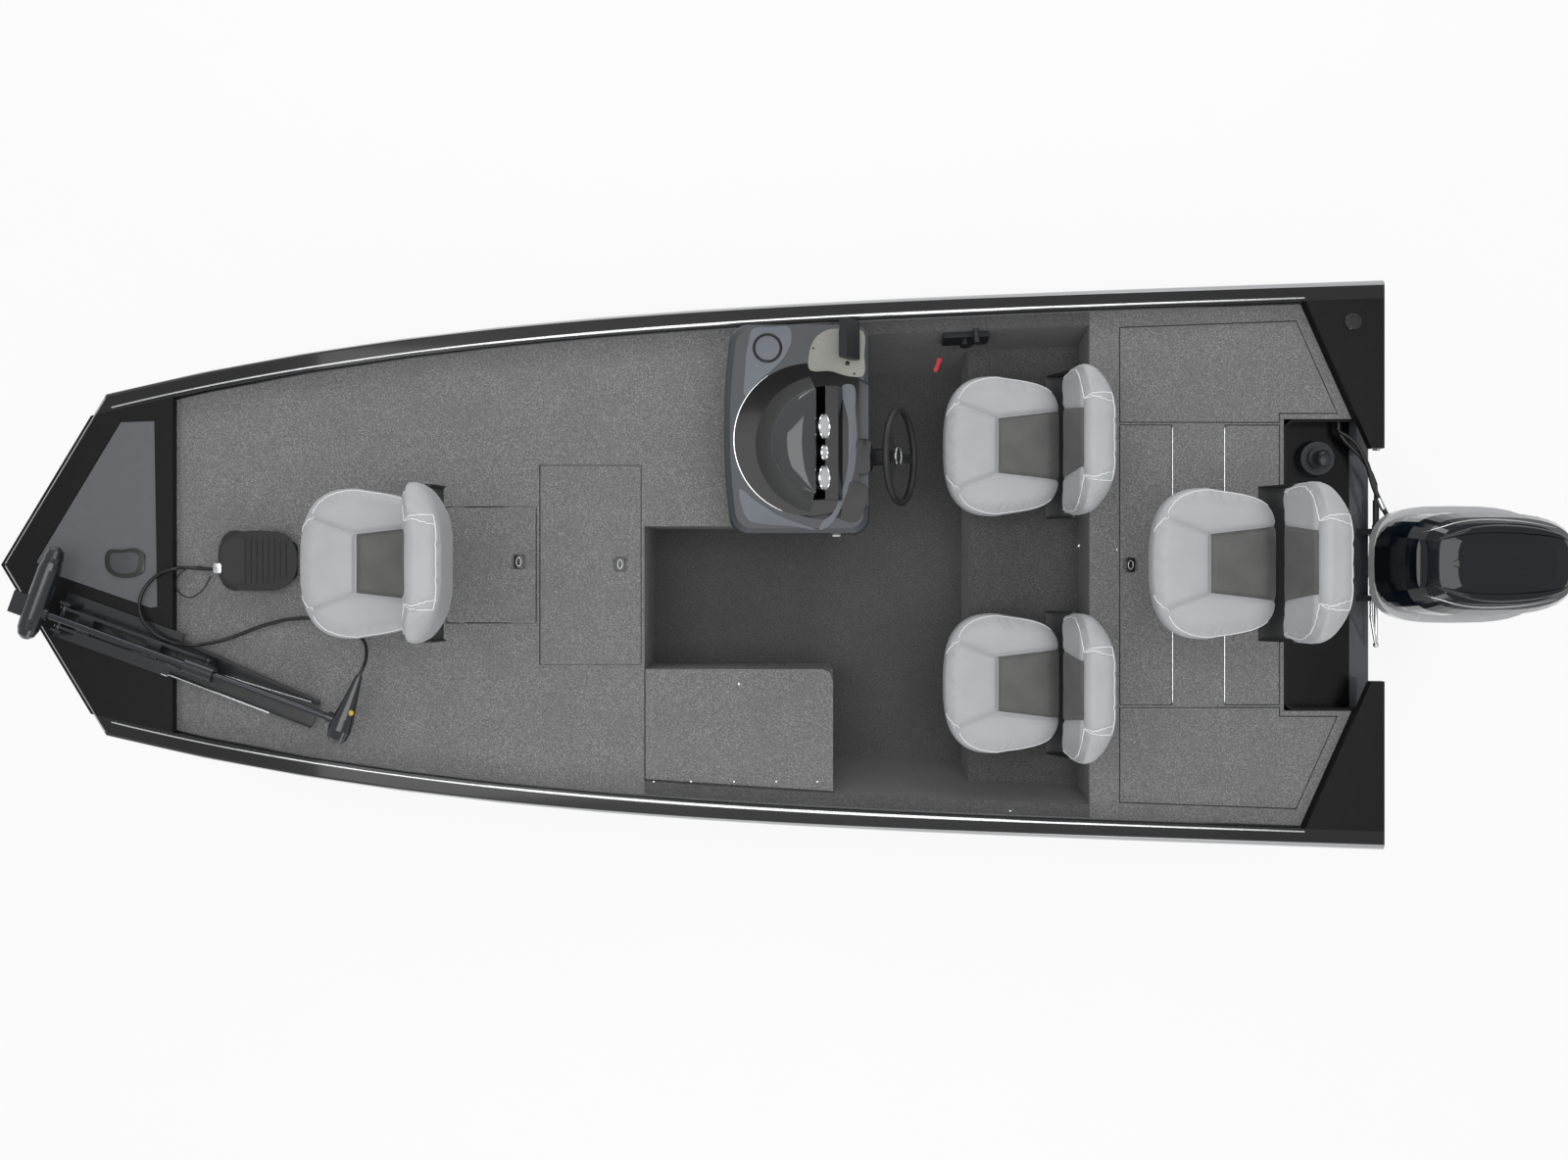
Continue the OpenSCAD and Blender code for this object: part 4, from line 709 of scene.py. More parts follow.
class BOAT_OT_console(bpy.types.Operator):
    """Console with its inset panels, dash, gauges, windscreen, wheel and throttle"""
    bl_idname = "boat.console"
    bl_label = "Console"

    def execute(self, context):
        look = context.scene.boat_finish
        slate = tuple(look.console)
        finish_nodes(moulded("console_shell", slate, 0.42, grain=420, depth=0.0003), "console")
        gloss = deep(moulded("dash_gloss", (0.003, 0.003, 0.0035), 0.10, coat=0.15), 0.25)
        finish_nodes(gloss, "dash_panel")
        finish_nodes(moulded("visor_grey", (0.070, 0.073, 0.070), 0.22, coat=0.15), "windscreen")
        finish_nodes(moulded("wheel_grip", (0.012, 0.0125, 0.013), 0.5, grain=1500, depth=0.0004), "steering_wheel")
        device = moulded("device_plastic", (0.011, 0.012, 0.014), 0.42)
        finish_nodes(device, "helm", "throttle_control", "sonar_display")
        light = moulded("console_panel", tuple(c * 2.7 for c in slate), 0.46, grain=420, depth=0.0003)
        for word, pixels in CONSOLE_PANELS.items():
            outline = curve_through(above_all(pixels, 0.702)[:, :2], 90, closed=True)
            rounded_plate(f"console_panel_{word}", outline, 0.6990, 0.7022, "boat", light, 0.0012)
        for word, pixels in DARK_PANELS.items():
            outline = curve_through(above_all(pixels, 0.702)[:, :2], 60, closed=True)
            rounded_plate(f"console_{word}", outline, 0.6990, 0.7026, "boat", gloss, 0.001)
        beige = moulded("device_plate", (0.24, 0.245, 0.215), 0.5, grain=900, depth=0.0002)
        outline = curve_through(above_all(DEVICE_PLATE, 0.703)[:, :2], 80, closed=True)
        rounded_plate("device_plate", outline, 0.6990, 0.7032, "boat", beige, 0.001)
        chrome = brushed("trim_chrome", (0.85, 0.86, 0.87), 0.12)
        for i, (px, py) in enumerate([(830, 355.5), (871.6, 381.5)]):
            stud(f"device_plate_screw_{i}", above(px, py, 0.7032), 0.0045, "boat", device)
        stud("device_plate_grommet", above(864.7, 370.8, 0.7032), 0.009, "boat", gloss)

        # The glossy well round the screen, and its bright forward rim.
        mid, r = np.array([2.365, -0.490]), 0.300
        w = np.radians(np.linspace(-134, 134, 120))
        arc = mid + r * np.stack([np.cos(w), np.sin(w)], axis=1)
        rounded_plate("screen_well", arc[arc[:, 0] > 2.168], 0.6990, 0.7012, "boat", gloss, 0.0008)
        w = np.radians(np.linspace(-56, 68, 90))
        rim = np.stack([mid[0] + 0.302 * np.cos(w), mid[1] + 0.302 * np.sin(w), np.full(90, 0.7012)], axis=1)
        tube("screen_well_rim", rim, 0.0009 + 0.0018 * np.sin(np.linspace(0, np.pi, 90)), "boat", chrome,
             6)

        # Smoked dome: from the visor's top rim back to the dash, crowned between them.
        f = Finish("smoked_dome")
        haze = f.noise(f.place(), 40, 3.0)
        smoked = f.surface(Base_Color=(0.045, 0.048, 0.05), Roughness=0.05 + haze * 0.05, Alpha=0.78 + haze * 0.08,
                           Coat_Weight=0.5)
        u, v = np.meshgrid(np.linspace(-1, 1, 41), np.linspace(0, 1, 17))
        a = u * math.radians(78)
        front = np.stack([2.310 + 0.2045 * np.cos(a), -0.470 + 0.2045 * np.sin(a), np.full_like(a, 0.857)], axis=2)
        rear = np.stack([np.full_like(u, 2.348), -0.470 + 0.2045 * np.sin(a), 0.861 + 0.0 * u], axis=2)
        dome = front + (rear - front) * v[..., None]
        dome[..., 2] += 0.030 * np.sin(np.pi * v) * np.cos(u * np.pi / 2)
        made = put("screen_dome", dome, quads(17, 41, False)[:, ::-1], "boat", smoked)
        made.modifiers.new("wall", "SOLIDIFY").thickness = 0.003

        dial = dial_finish()
        for i, (y, r) in enumerate([(-0.528, 0.048), (-0.428, 0.030), (-0.330, 0.048)]):
            at = np.array([2.312, y, 0.826])
            body = [(r - 0.004, -0.075), (r - 0.001, -0.06), (r, -0.012), (r, -0.004), (r - 0.004, -0.003),
                    (r - 0.006, -0.006)]
            spun(f"gauge_body_{i}", body, at, GAUGE_AXIS, "boat", gloss)
            ring = [(r + 0.0005, -0.006), (r + 0.002, -0.002), (r, 0.002), (r - 0.004, 0.001), (r - 0.0055, -0.004)]
            spun(f"gauge_ring_{i}", ring, at, GAUGE_AXIS, "boat", chrome)
            face = spun(f"gauge_dial_{i}", [(r - 0.004, -0.0045), (r - 0.004, -0.003), (0.0, -0.0025)], at, GAUGE_AXIS,
                        "boat", dial)
            rel = mesh_points(face) - at
            side = np.array([0.454, 0.0, 0.891])
            local = np.stack([rel @ side, rel[:, 1], rel @ GAUGE_AXIS], axis=1) / r
            made = face.data.attributes.new("dial_at", "FLOAT_VECTOR", "POINT")
            made.data.foreach_set("vector", local.astype(np.float32).ravel())

        w = np.linspace(0, 2 * np.pi, 60, endpoint=False)
        cup = np.stack([2.535 + 0.053 * np.cos(w), -0.850 + 0.053 * np.sin(w), np.full(60, 0.7015)], axis=1)
        loop_tube("cup_holder_lip", cup, 0.0055, "boat", gloss)
        spun("cup_holder_floor", [(0.0445, 0.6105), (0.044, 0.613), (0.020, 0.6125), (0.0, 0.6125)], (2.535, -0.850, 0),
             (0, 0, 1), "boat", brushed("cup_steel", (0.7, 0.71, 0.72), 0.3))
        badge = [(0.041, -0.0105), (0.041, -0.007), (0.037, -0.004), (0.031, -0.005), (0.029, -0.0075), (0.0, -0.0075)]
        spun("wheel_hub_ring", badge, WHEEL_AT, WHEEL_AXIS, "wheel", chrome)
        spun("wheel_hub_cap", [(0.029, -0.008), (0.0285, -0.0065), (0.015, -0.0045), (0.0, -0.004)], WHEEL_AT,
             WHEEL_AXIS, "wheel", gloss)
        spun("console_latch", [(0.022, 0), (0.020, 0.008), (0.008, 0.010), (0.0, 0.010)], (2.262, -0.117, 0.640),
             (0, 1, 0), "boat", chrome)
        red = moulded("stop_tag", (0.45, 0.012, 0.015), 0.5)
        tag = above_all([(957, 366), (960, 367), (958, 374), (954, 381), (952, 380), (954, 373)], 0.300)[:, :2]
        rounded_plate("stop_switch_tag", curve_through(tag, 40, closed=True), 0.325, 0.332, "boat", red,
                      0.002)
        return {"FINISHED"}


def cushion_rings():
    """A cushion's skin: its plan outline carried up a rounded side to a lightly crowned top."""
    loop = superloop(96, 0.080, 0.278, 0.222, 0.298, 5.0, 2.7, narrow=0.14)
    steps = [(0.10, -0.103), (0.6, -0.103), (0.93, -0.102), (0.975, -0.094), (0.99, -0.075), (0.995, -0.055),
             (0.990, -0.040), (0.965, -0.026), (0.90, -0.016), (0.76, -0.011), (0.45, -0.010), (0.10, -0.010)]
    scale, z = np.array(steps).T
    mid = np.array([0.055, 0.0])
    plan = mid + (loop - mid)[None] * scale[:, None, None]
    return np.concatenate([plan, np.broadcast_to(z[:, None, None], (len(z), len(loop), 1))], axis=2)


def fold_limit(points):
    """Draws the foot of a backrest's front in, under a line that leaves it room to fold forward."""
    dx = points[:, 0] - HINGE_X
    z = points[:, 2]
    room = 0.060 + (dx * 0.866 - 0.054) / 0.5
    low = np.clip(room - z, 0, 0.08)
    return points - np.stack([low * 0.42, 0 * low, 0 * low], axis=1)


def back_rings():
    """A backrest's skin: bean sections stacked up its height, drawn in at foot, shoulders and top,
    leaned back about the hinge."""
    w = np.linspace(0, 2 * np.pi, 96, endpoint=False)
    steps = [(0.024, 0.90, 0.45), (0.028, 0.935, 0.72), (0.045, 0.955, 0.93), (0.09, 0.965, 0.99), (0.15, 1.0, 1.0),
             (0.25, 1.0, 1.0), (0.30, 0.985, 1.0), (0.335, 0.955, 1.0), (0.362, 0.90, 0.96), (0.380, 0.84, 0.86),
             (0.392, 0.76, 0.66), (0.397, 0.66, 0.38)]
    z, wide, thick = np.array(steps).T
    y = 0.300 * np.sign(np.cos(w)) * np.abs(np.cos(w)) ** 0.62
    a = np.abs(y) / 0.303
    front, rear = -0.010 + 0.020 * a**3, -0.138 + 0.075 * a**4
    mid, half = (front + rear) / 2, (front - rear) / 2
    x = mid[None] + thick[:, None] * (half * np.sign(np.sin(w)) * np.abs(np.sin(w)) ** 0.55)[None]
    points = np.stack([x + BACK_IN, wide[:, None] * y[None], np.broadcast_to(z[:, None], x.shape)], axis=2)
    return moved(points, turn_y(-math.degrees(BACK_LEAN)), (HINGE_X, 0, 0))


def sewn(points, normals, lines, depth, width, sizes=3, weight=1.0):
    """Sinks points near seams against their normals: depth * exp(-(distance / width)^2)."""
    near = np.full(len(points), 1e9)
    for line in lines:
        line = np.asarray(line, float)[:, :sizes]
        a, ab = line[:-1], np.diff(line, axis=0)
        k = ((points[:, None, :sizes] - a) * ab).sum(2) / (ab * ab).sum(1)
        gap = np.linalg.norm(points[:, None, :sizes] - a - np.clip(k, 0, 1)[..., None] * ab, axis=2)
        near = np.minimum(near, gap.min(1))
    return points - normals * (depth * np.exp(-(near / width) ** 2) * weight)[:, None]


def mesh_normals(obj):
    found = np.zeros(len(obj.data.vertices) * 3, np.float32)
    obj.data.vertices.foreach_get("normal", found)
    return found.reshape(-1, 3).astype(float)


# Seams of a cushion in its own plan, in metres: the insert's edges and the creases to its corners.
INSERT_FRONT, INSERT_REAR = (0.070, 0.112), (-0.190, 0.142)
CUSHION_SEAMS = [
    [(INSERT_REAR[0], -INSERT_REAR[1]), (INSERT_FRONT[0], -INSERT_FRONT[1]), (INSERT_FRONT[0], INSERT_FRONT[1]),
     (INSERT_REAR[0], INSERT_REAR[1])],
    [(INSERT_FRONT[0], INSERT_FRONT[1]), (0.236, 0.172)],
    [(INSERT_FRONT[0], -INSERT_FRONT[1]), (0.236, -0.172)],
]
CUSHION_PIPING = [(0.300, 0.125), (0.272, 0.140), (0.236, 0.170), (0.205, 0.225), (0.150, 0.262), (0.070, 0.281),
                  (-0.020, 0.279), (-0.100, 0.262), (-0.170, 0.238)]


class BOAT_OT_seats(bpy.types.Operator):
    """Padded cushions and backrests with piping, and their brackets and posts"""
    bl_idname = "boat.seats"
    bl_label = "Seats"

    def execute(self, context):
        look = context.scene.boat_seats
        finish_nodes(moulded("bracket_enamel", (0.012, 0.013, 0.014), 0.4), "bow_seat_frame", "stern_seat_frame",
                     "cockpit_seat_frames")
        finish_nodes(moulded("post_enamel", (0.03, 0.032, 0.035), 0.32, coat=0.3), "seat_posts")

        def cushion_insert(f, at):
            x, y, z = f.split(at)
            k = (INSERT_REAR[1] - INSERT_FRONT[1]) / (INSERT_FRONT[0] - INSERT_REAR[0])
            edge = INSERT_FRONT[1] + (INSERT_FRONT[0] - x) * k - abs(y)
            return edge.step(-0.001, 0.001) * (1 - x.step(INSERT_FRONT[0] - 0.001, INSERT_FRONT[0] + 0.001)) \
                * z.step(-0.06, -0.05)

        def back_insert(f, at):
            x, y, z = f.split(at)
            edge = 0.149 - z * 0.10 - abs(y)
            return edge.step(-0.001, 0.001) * (1 - z.step(0.354, 0.356)) * x.step(-0.245, -0.235)

        skin = vinyl("seat_vinyl", tuple(look.vinyl), tuple(look.insert), cushion_insert)
        back_skin = vinyl("backrest_vinyl", tuple(look.vinyl), tuple(look.insert), back_insert)
        cord = moulded("piping_vinyl", (0.78, 0.79, 0.80), 0.4, wear=0.03)

        pad = shell("pad_pattern", cushion_rings(), None, skin, flip=True)
        stuffed(pad, 0.006, 0.009)
        points = mesh_points(pad)
        upper = np.clip((points[:, 2] + 0.06) / 0.03, 0, 1)
        x, y = points[:, 0], np.abs(points[:, 1])
        slope = (INSERT_REAR[1] - INSERT_FRONT[1]) / (INSERT_FRONT[0] - INSERT_REAR[0])
        out = np.maximum(x - INSERT_FRONT[0], y - INSERT_FRONT[1] - (INSERT_FRONT[0] - x) * slope)
        points[:, 2] += upper * (0.010 * (1 - np.exp(-np.clip(out, 0, 1) / 0.035)) - 0.003 * (out < 0))
        set_points(pad, points)
        points = sewn(points, mesh_normals(pad), CUSHION_SEAMS, 0.010, 0.009, 2, upper)
        set_points(pad, points)
        plan = curve_through([(*p, 0) for p in CUSHION_PIPING], 70)
        plan[:, 2] = np.linspace(-0.02, -0.012, 70)
        self.lay(context, pad, "cushion", [plan, plan * (1, -1, 1)], cord, look.piping)

        rest = shell("rest_pattern", back_rings(), None, back_skin, flip=False)
        points = mesh_points(rest)
        set_points(rest, fold_limit(points))
        stuffed(rest, 0.006, 0.008)
        lines, seams = [], []
        for side in (1, -1):
            flank = [(-0.158, side * 0.280, 0.060), (-0.160, side * 0.287, 0.15), (-0.170, side * 0.280, 0.25),
                     (-0.182, side * 0.250, 0.320), (-0.192, side * 0.200, 0.352), (-0.198, side * 0.145, 0.366)]
            lines.append(curve_through(flank, 60))
            for rear_y in (0.135, 0.172):
                lines.append(curve_through([(-0.200, side * 0.147, 0.368), (-0.232, side * (0.12 + rear_y * 0.25), 0.392),
                                            (-0.275, side * (0.05 + rear_y * 0.7), 0.396),
                                            (-0.322, side * rear_y, 0.372)], 40))
            seams.append([(-0.175, side * 0.147, 0.03), (-0.186, side * 0.128, 0.20), (-0.198, side * 0.113, 0.352),
                          (-0.199, side * 0.145, 0.366)])
        seams.append([(-0.198, -0.113, 0.354), (-0.200, 0.0, 0.356), (-0.198, 0.113, 0.354)])
        lines.append(curve_through([(-0.322, -0.172, 0.372), (-0.331, -0.09, 0.374), (-0.333, 0.0, 0.374),
                                    (-0.331, 0.09, 0.374), (-0.322, 0.172, 0.372)], 60))
        set_points(rest, sewn(mesh_points(rest), mesh_normals(rest), seams + lines, 0.006, 0.008))
        self.lay(context, rest, "back", lines, cord, look.piping)
        bpy.data.objects.remove(pad)
        bpy.data.objects.remove(rest)
        return {"FINISHED"}

    def lay(self, context, pattern, kind, lines, cord, radius):
        """Copies a finished pad to each seat, with its piping laid on the skin."""
        skin = BVHTree.FromObject(pattern, context.evaluated_depsgraph_get())
        laid = []
        for line in lines:
            found = [skin.find_nearest(Vector(p)) for p in line]
            laid.append(np.array([np.array(f[0]) + np.array(f[1]) * radius * 0.3 for f in found]))
        lines = laid
        bodies = {"cushion": {"bow": "bow_seat", "stern": "stern_seat", "starboard": "boat", "port": "boat"},
                  "back": {"bow": "bow_backrest", "stern": "stern_backrest", "starboard": "starboard_backrest",
                           "port": "port_backrest"}}[kind]
        places = {"bow": BOW_SEAT, "stern": STERN_SEAT, **MID_SEATS}
        local = mesh_points(pattern)
        for seat, body in bodies.items():
            mesh = pattern.data.copy()
            mesh.name = f"{seat}_{kind}_pad"
            made = bpy.data.objects.new(f"{seat}_{kind}_pad", mesh)
            context.scene.collection.objects.link(made)
            set_points(made, local + np.array(places[seat]))
            at = mesh.attributes.new("seat_at", "FLOAT_VECTOR", "POINT")
            at.data.foreach_set("vector", local.astype(np.float32).ravel())
            mesh.shade_smooth()
            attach(made, body)
            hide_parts(f"{seat}_seat_{kind}")
            for i, line in enumerate(lines):
                tube(f"{seat}_{kind}_piping_{i}", line + np.array(places[seat]), radius, body, cord, 8,
                     ref=(0, 0, 1) if kind == "cushion" else (1, 0, 0))


class BOAT_OT_outboard(bpy.types.Operator):
    """Outboard motor: glossy cowl, silver lower band, leg, brackets and propeller"""
    bl_idname = "boat.outboard"
    bl_label = "Outboard motor"

    def execute(self, context):
        cowl = tuple(context.scene.boat_motor.cowl)
        gloss = deep(moulded("cowl_gloss", cowl, 0.07, coat=0.3, wear=0.02, depth=0.00003), 0.3)
        finish_nodes(gloss, "motor_cowl", "motor_leg")
        finish_nodes(moulded("cowl_silver", (0.60, 0.61, 0.62), 0.25, coat=0.6, metal=0.3), "lower_cowl")
        finish_nodes(moulded("motor_bracket", (0.010, 0.011, 0.012), 0.35), "clamp_bracket", "swivel_bracket")
        finish_nodes(brushed("prop_metal", (0.10, 0.11, 0.12), 0.3), "propeller")
        finish_nodes(brushed("ram_steel", (0.75, 0.76, 0.77), 0.2, (160.0, 6.0, 160.0)), "steering_ram")
        rubber = moulded("hose_rubber", (0.008, 0.008, 0.009), 0.45)
        finish_nodes(rubber, "steering_cable")
        # Two long ridges down the cowl's top, a low one between them, and a raised plate at its front.
        for side in (1, -1):
            line = curve_through([(0.010, side * 0.085), (-0.12, side * 0.122), (-0.30, side * 0.128),
                                  (-0.46, side * 0.105), (-0.52, side * 0.085)], 60)
            fin(f"cowl_ridge_{'port' if side > 0 else 'starboard'}", laid_on("motor_cowl", line, -0.001), 0.017, 0.022,
                "outboard", gloss)
        line = np.stack([np.linspace(-0.05, -0.44, 50), np.zeros(50)], axis=1)
        fin("cowl_ridge_mid", laid_on("motor_cowl", line, -0.001), 0.045, 0.007, "outboard", gloss)
        silver = brushed("cowl_trim", (0.74, 0.75, 0.77), 0.2)
        for side in (1, -1):
            line = curve_through([(0.030, side * 0.120), (-0.10, side * 0.158), (-0.30, side * 0.162),
                                  (-0.47, side * 0.135)], 50)
            fin(f"cowl_line_{'port' if side > 0 else 'starboard'}", laid_on("motor_cowl", line, 0.0), 0.0035, 0.003,
                "outboard", silver)
        plate = superloop(60, 0.045, 0.022, 0.022, 0.095, 3.0, 3.0)
        top = laid_on("motor_cowl", plate, 0.0)[:, 2]
        rounded_plate("cowl_front_plate", plate, float(top.min()), float(top.max()) + 0.004, "outboard", gloss,
                      0.003)
        # A second hose beside the steering cable, and its bright fitting.
        hose = curve_through([(0.150, -0.560, 0.330), (0.100, -0.520, 0.352), (0.050, -0.430, 0.362),
                              (0.020, -0.320, 0.372), (-0.010, -0.240, 0.384), (-0.030, -0.190, 0.400)], 60)
        tube("control_hose", hose, 0.010, "boat", rubber, 12)
        tube("control_hose_fitting", hose[-14:-6] + (0, 0, 0.0), 0.0125, "boat", silver, 14)
        return {"FINISHED"}


# Route of the pedal's cable, as the CAD has it, in metres.
CABLE = np.array([
    (4812, 17, 397), (4847, 17, 394), (4881, 15, 392), (4915, 13, 397), (4945, 12, 414),
    (4969, 15, 438), (5002, 23, 443), (5034, 37, 441), (5062, 57, 438), (5086, 83, 438),
    (5103, 113, 444), (5112, 146, 446), (5111, 181, 453), (5100, 212, 463), (5082, 240, 472),
    (5058, 265, 478), (5031, 286, 483), (5000, 303, 478), (4968, 316, 479), (4935, 324, 478),
    (4900, 328, 483), (4867, 328, 474), (4838, 324, 448), (4810, 318, 428), (4783, 310, 408),
    (4753, 299, 397), (4720, 287, 393), (4688, 274, 392), (4655, 262, 393), (4623, 251, 393),
    (4589, 242, 393), (4556, 233, 393), (4522, 226, 393), (4487, 222, 393), (4453, 220, 393),
    (4418, 222, 393), (4384, 226, 393), (4350, 234, 393), (4317, 245, 393), (4285, 259, 395),
    (4255, 274, 400), (4226, 290, 411), (4203, 307, 430), (4185, 323, 455), (4173, 342, 482),
    (4165, 361, 509), (4160, 383, 536), (4164, 412, 555), (4177, 443, 560)]) / 1000.0


# The mount's bright edges and the pedal's tread, as the photograph's pixels.
BASE_RAILS = [[(132, 661), (222, 689), (316, 717)], [(162, 688), (216, 709), (274, 730)]]
PEDAL_TREAD = [(226, 553), (240, 545), (270, 542), (292, 546), (302, 560), (304, 574), (300, 590), (288, 600),
               (262, 603), (238, 600), (226, 592), (223, 572)]


class BOAT_OT_bow_motor(bpy.types.Operator):
    """Bow motor, its mount, its foot pedal and the pedal's cable"""
    bl_idname = "boat.bow_motor"
    bl_label = "Bow motor"

    def execute(self, context):
        finish_nodes(moulded("mount_black", (0.012, 0.013, 0.015), 0.3, coat=0.3), "trolling_base", "trolling_arm",
                     "trolling_collar")
        finish_nodes(moulded("pod_gloss", (0.010, 0.012, 0.015), 0.2, coat=0.5), "trolling_pod", "trolling_prop",
                     "trolling_head")
        finish_nodes(brushed("shaft_metal", (0.075, 0.080, 0.088), 0.22), "trolling_shaft")
        silver = brushed("mount_rail", (0.66, 0.67, 0.69), 0.25)
        for i, pixels in enumerate(BASE_RAILS):
            line = np.array([above(px, py, 0.468)[:2] for px, py in curve_through([(*p, 0) for p in pixels], 50)[:, :2]])
            tube(f"mount_rail_{i}", laid_on("trolling_base", line, 0.001, 0.60), 0.0042, "boat", silver,
                 8)
        spun("head_button", [(0.011, -0.003), (0.011, 0.004), (0.007, 0.006), (0.0, 0.006)],
                      laid_on("trolling_head", [above(357, 728, 0.60)[:2]], 0.0)[0], (0, 0, 1), "bow_motor",
                      moulded("button_yellow", (0.55, 0.36, 0.02), 0.4))
        strap = curve_through([(*p, 0) for p in [(97, 634), (108, 643), (119, 655), (129, 667)]], 30)[:, :2]
        line = np.array([above(px, py, 0.52)[:2] for px, py in strap])
        fin("mount_strap", laid_on("trolling_base", line, 0.0), 0.014, 0.004, "boat",
            moulded("strap_web", (0.010, 0.010, 0.011), 0.8))
        # The pedal's tread: a plate with ribs across it, and the block and loop behind it.
        rubber = moulded("pedal_rubber", (0.012, 0.012, 0.013), 0.6, grain=800, depth=0.0004)
        finish_nodes(rubber, "foot_pedal")
        top = float(laid_on("foot_pedal", [above(262, 572, 0.45)[:2]], 0.0)[0, 2])
        plan = curve_through(above_all(PEDAL_TREAD, top)[:, :2], 80, closed=True)
        rounded_plate("pedal_tread", plan, top - 0.003, top + 0.004, "boat", rubber, 0.003)
        for i, px in enumerate(range(238, 296, 6)):
            ends = above_all([(px, 549 + (px > 285) * 4), (px, 595 - (px > 285) * 4)], top + 0.0045)
            tube(f"pedal_rib_{i}", np.linspace(ends[0], ends[1], 8), 0.0022, "boat", rubber, 8)
        block = superloop(40, above(222, 580, top)[0], 0.018, 0.018, 0.022, 5.0, 5.0)
        block += (0, above(222, 580, top)[1])
        rounded_plate("pedal_block", block, top - 0.010, top + 0.006, "boat", silver, 0.003)
        wire = curve_through(above_all([(215, 588), (206, 603), (192, 610), (181, 602), (181, 589), (192, 580),
                                        (206, 578)], 0.394), 60)
        tube("pedal_loop", wire, 0.0024, "boat", moulded("wire_black", (0.01, 0.01, 0.011), 0.5), 8)
        jacket = moulded("cable_jacket", (0.007, 0.007, 0.008), 0.4, grain=700, depth=0.0003)
        path = curve_through(CABLE, 150)
        made = tube("pedal_cable_jacket", path, 0.007, "boat", jacket, 12, ends=False)
        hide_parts("pedal_cable")
        return {"FINISHED"}


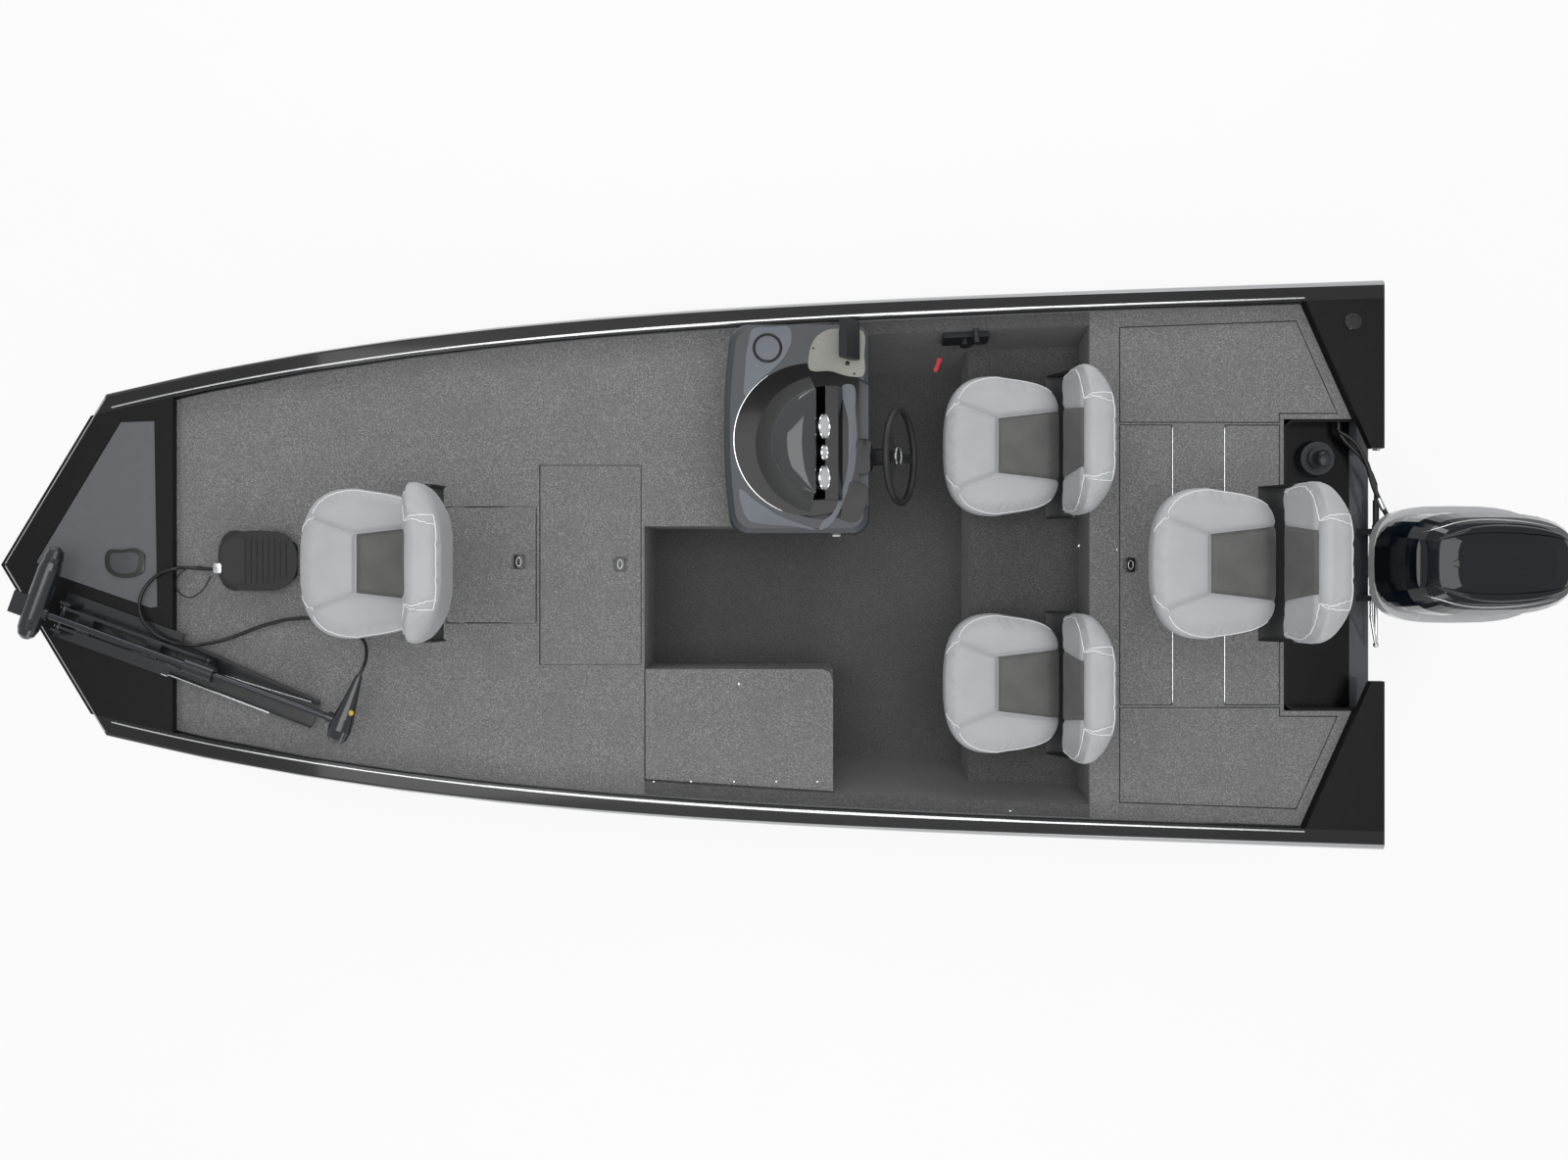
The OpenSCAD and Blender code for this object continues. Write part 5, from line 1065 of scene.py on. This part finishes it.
class BOAT_OT_stage(bpy.types.Operator):
    """Pale floor 0.64 m under the waterline, soft lights and the camera straight above"""
    bl_idname = "boat.stage"
    bl_label = "Stage"

    def execute(self, context):
        look = context.scene.boat_studio
        scene = context.scene
        camera = bpy.data.objects.new("camera", bpy.data.cameras.new("camera"))
        scene.collection.objects.link(camera)
        camera.data.sensor_width = 36.0
        camera.data.lens = 1513.6 / 1600 * 36.0
        camera.location = (2.470, 0.0625, look.height)
        camera.rotation_euler = (0, 0, math.pi)
        camera.data.clip_end = 200
        scene.camera = camera

        f = Finish("floor_white")
        ray = f.node("ShaderNodeLightPath", {}, out="Is Camera Ray")
        gloss = f.node("ShaderNodeLightPath", {}, out="Is Glossy Ray")
        glass = f.node("ShaderNodeLightPath", {}, out="Is Transmission Ray")
        seen = ray.most(gloss).most(glass)
        grain = f.noise(f.place(), 3, 2.0)
        pale = f.mix(grain, grey(0.80), grey(0.84))
        matt = f.node("ShaderNodeBsdfDiffuse", {}, pale)
        glow = f.node("ShaderNodeEmission", {}, (1.0, 1.0, 1.0), 1.0)
        both = f.node("ShaderNodeMixShader", {}, seen * 0.86, matt, glow)
        f.tree.links.new(both.out, f.target.inputs["Surface"])

        w = np.linspace(0, 2 * np.pi, 96, endpoint=False)
        r = np.array([0.5, 3.0, 6.0, 12.0, 60.0])[:, None]
        points = np.stack([2.6 + r * np.cos(w), r * np.sin(w), np.full((5, 96), -0.64)], axis=2)
        faces = [list(q) for q in quads(5, 96, True)] + [list(range(96))]
        put("floor", points, faces, None, f.material)

        world = bpy.data.worlds.new("studio")
        scene.world = world
        world.use_nodes = True
        nodes, links = world.node_tree.nodes, world.node_tree.links
        path = nodes.new("ShaderNodeLightPath")
        level = nodes.new("ShaderNodeMapRange")
        links.new(path.outputs["Is Camera Ray"], level.inputs["Value"])
        level.inputs["To Min"].default_value = 0.55
        level.inputs["To Max"].default_value = 1.0
        back = nodes["Background"]
        back.inputs["Color"].default_value = (1, 1, 1, 1)
        links.new(level.outputs[0], back.inputs["Strength"])

        def lamp(name, at, aim, size, size_y, power):
            data = bpy.data.lights.new(name, "AREA")
            data.shape, data.size, data.size_y, data.energy = "RECTANGLE", size, size_y, power
            made = bpy.data.objects.new(name, data)
            made.location = at
            made.rotation_euler = (Vector(aim) - Vector(at)).to_track_quat("-Z", "Y").to_euler()
            scene.collection.objects.link(made)

        lamp("top_light", (2.6, 0.0, 7.5), (2.6, 0, 0), 8.0, 4.0, look.key)
        lamp("side_port", (2.4, 6.5, 3.2), (2.4, 0, 0.3), 7.0, 1.6, look.key * 0.45)
        lamp("side_starboard", (2.4, -6.5, 3.2), (2.4, 0, 0.3), 7.0, 1.6, look.key * 0.6)
        scene.view_settings.view_transform = "Standard"
        return {"FINISHED"}


class BOAT_PT_panel(bpy.types.Panel):
    """Sizes and colours of the boat, with one button for each group of pieces"""
    bl_idname = "BOAT_PT_panel"
    bl_label = "Boat"
    bl_space_type = "VIEW_3D"
    bl_region_type = "UI"
    bl_category = "Boat"

    def draw(self, context):
        for group in (context.scene.boat_finish, context.scene.boat_seats, context.scene.boat_motor,
                      context.scene.boat_studio):
            for key in group.bl_rna.properties.keys():
                if key not in ("rna_type", "name"):
                    self.layout.prop(group, key)
        for made in OPERATORS:
            self.layout.operator(made.bl_idname)


OPERATORS = (BOAT_OT_stage, BOAT_OT_bow_motor, BOAT_OT_hull, BOAT_OT_rail_beads, BOAT_OT_console, BOAT_OT_seats,
             BOAT_OT_outboard)
GROUPS = {"boat_finish": BoatFinish, "boat_seats": SeatLook, "boat_motor": MotorLook, "boat_studio": StudioLook}


def register():
    for made in (*GROUPS.values(), *OPERATORS, BOAT_PT_panel):
        bpy.utils.register_class(made)
    for key, group in GROUPS.items():
        setattr(bpy.types.Scene, key, PointerProperty(type=group))


def unregister():
    for key in GROUPS:
        delattr(bpy.types.Scene, key)
    for made in reversed((*GROUPS.values(), *OPERATORS, BOAT_PT_panel)):
        bpy.utils.unregister_class(made)


def main():
    register()
    for made in OPERATORS:
        area, name = made.bl_idname.split(".")
        getattr(getattr(bpy.ops, area), name)()


if __name__ == "__main__":
    main()
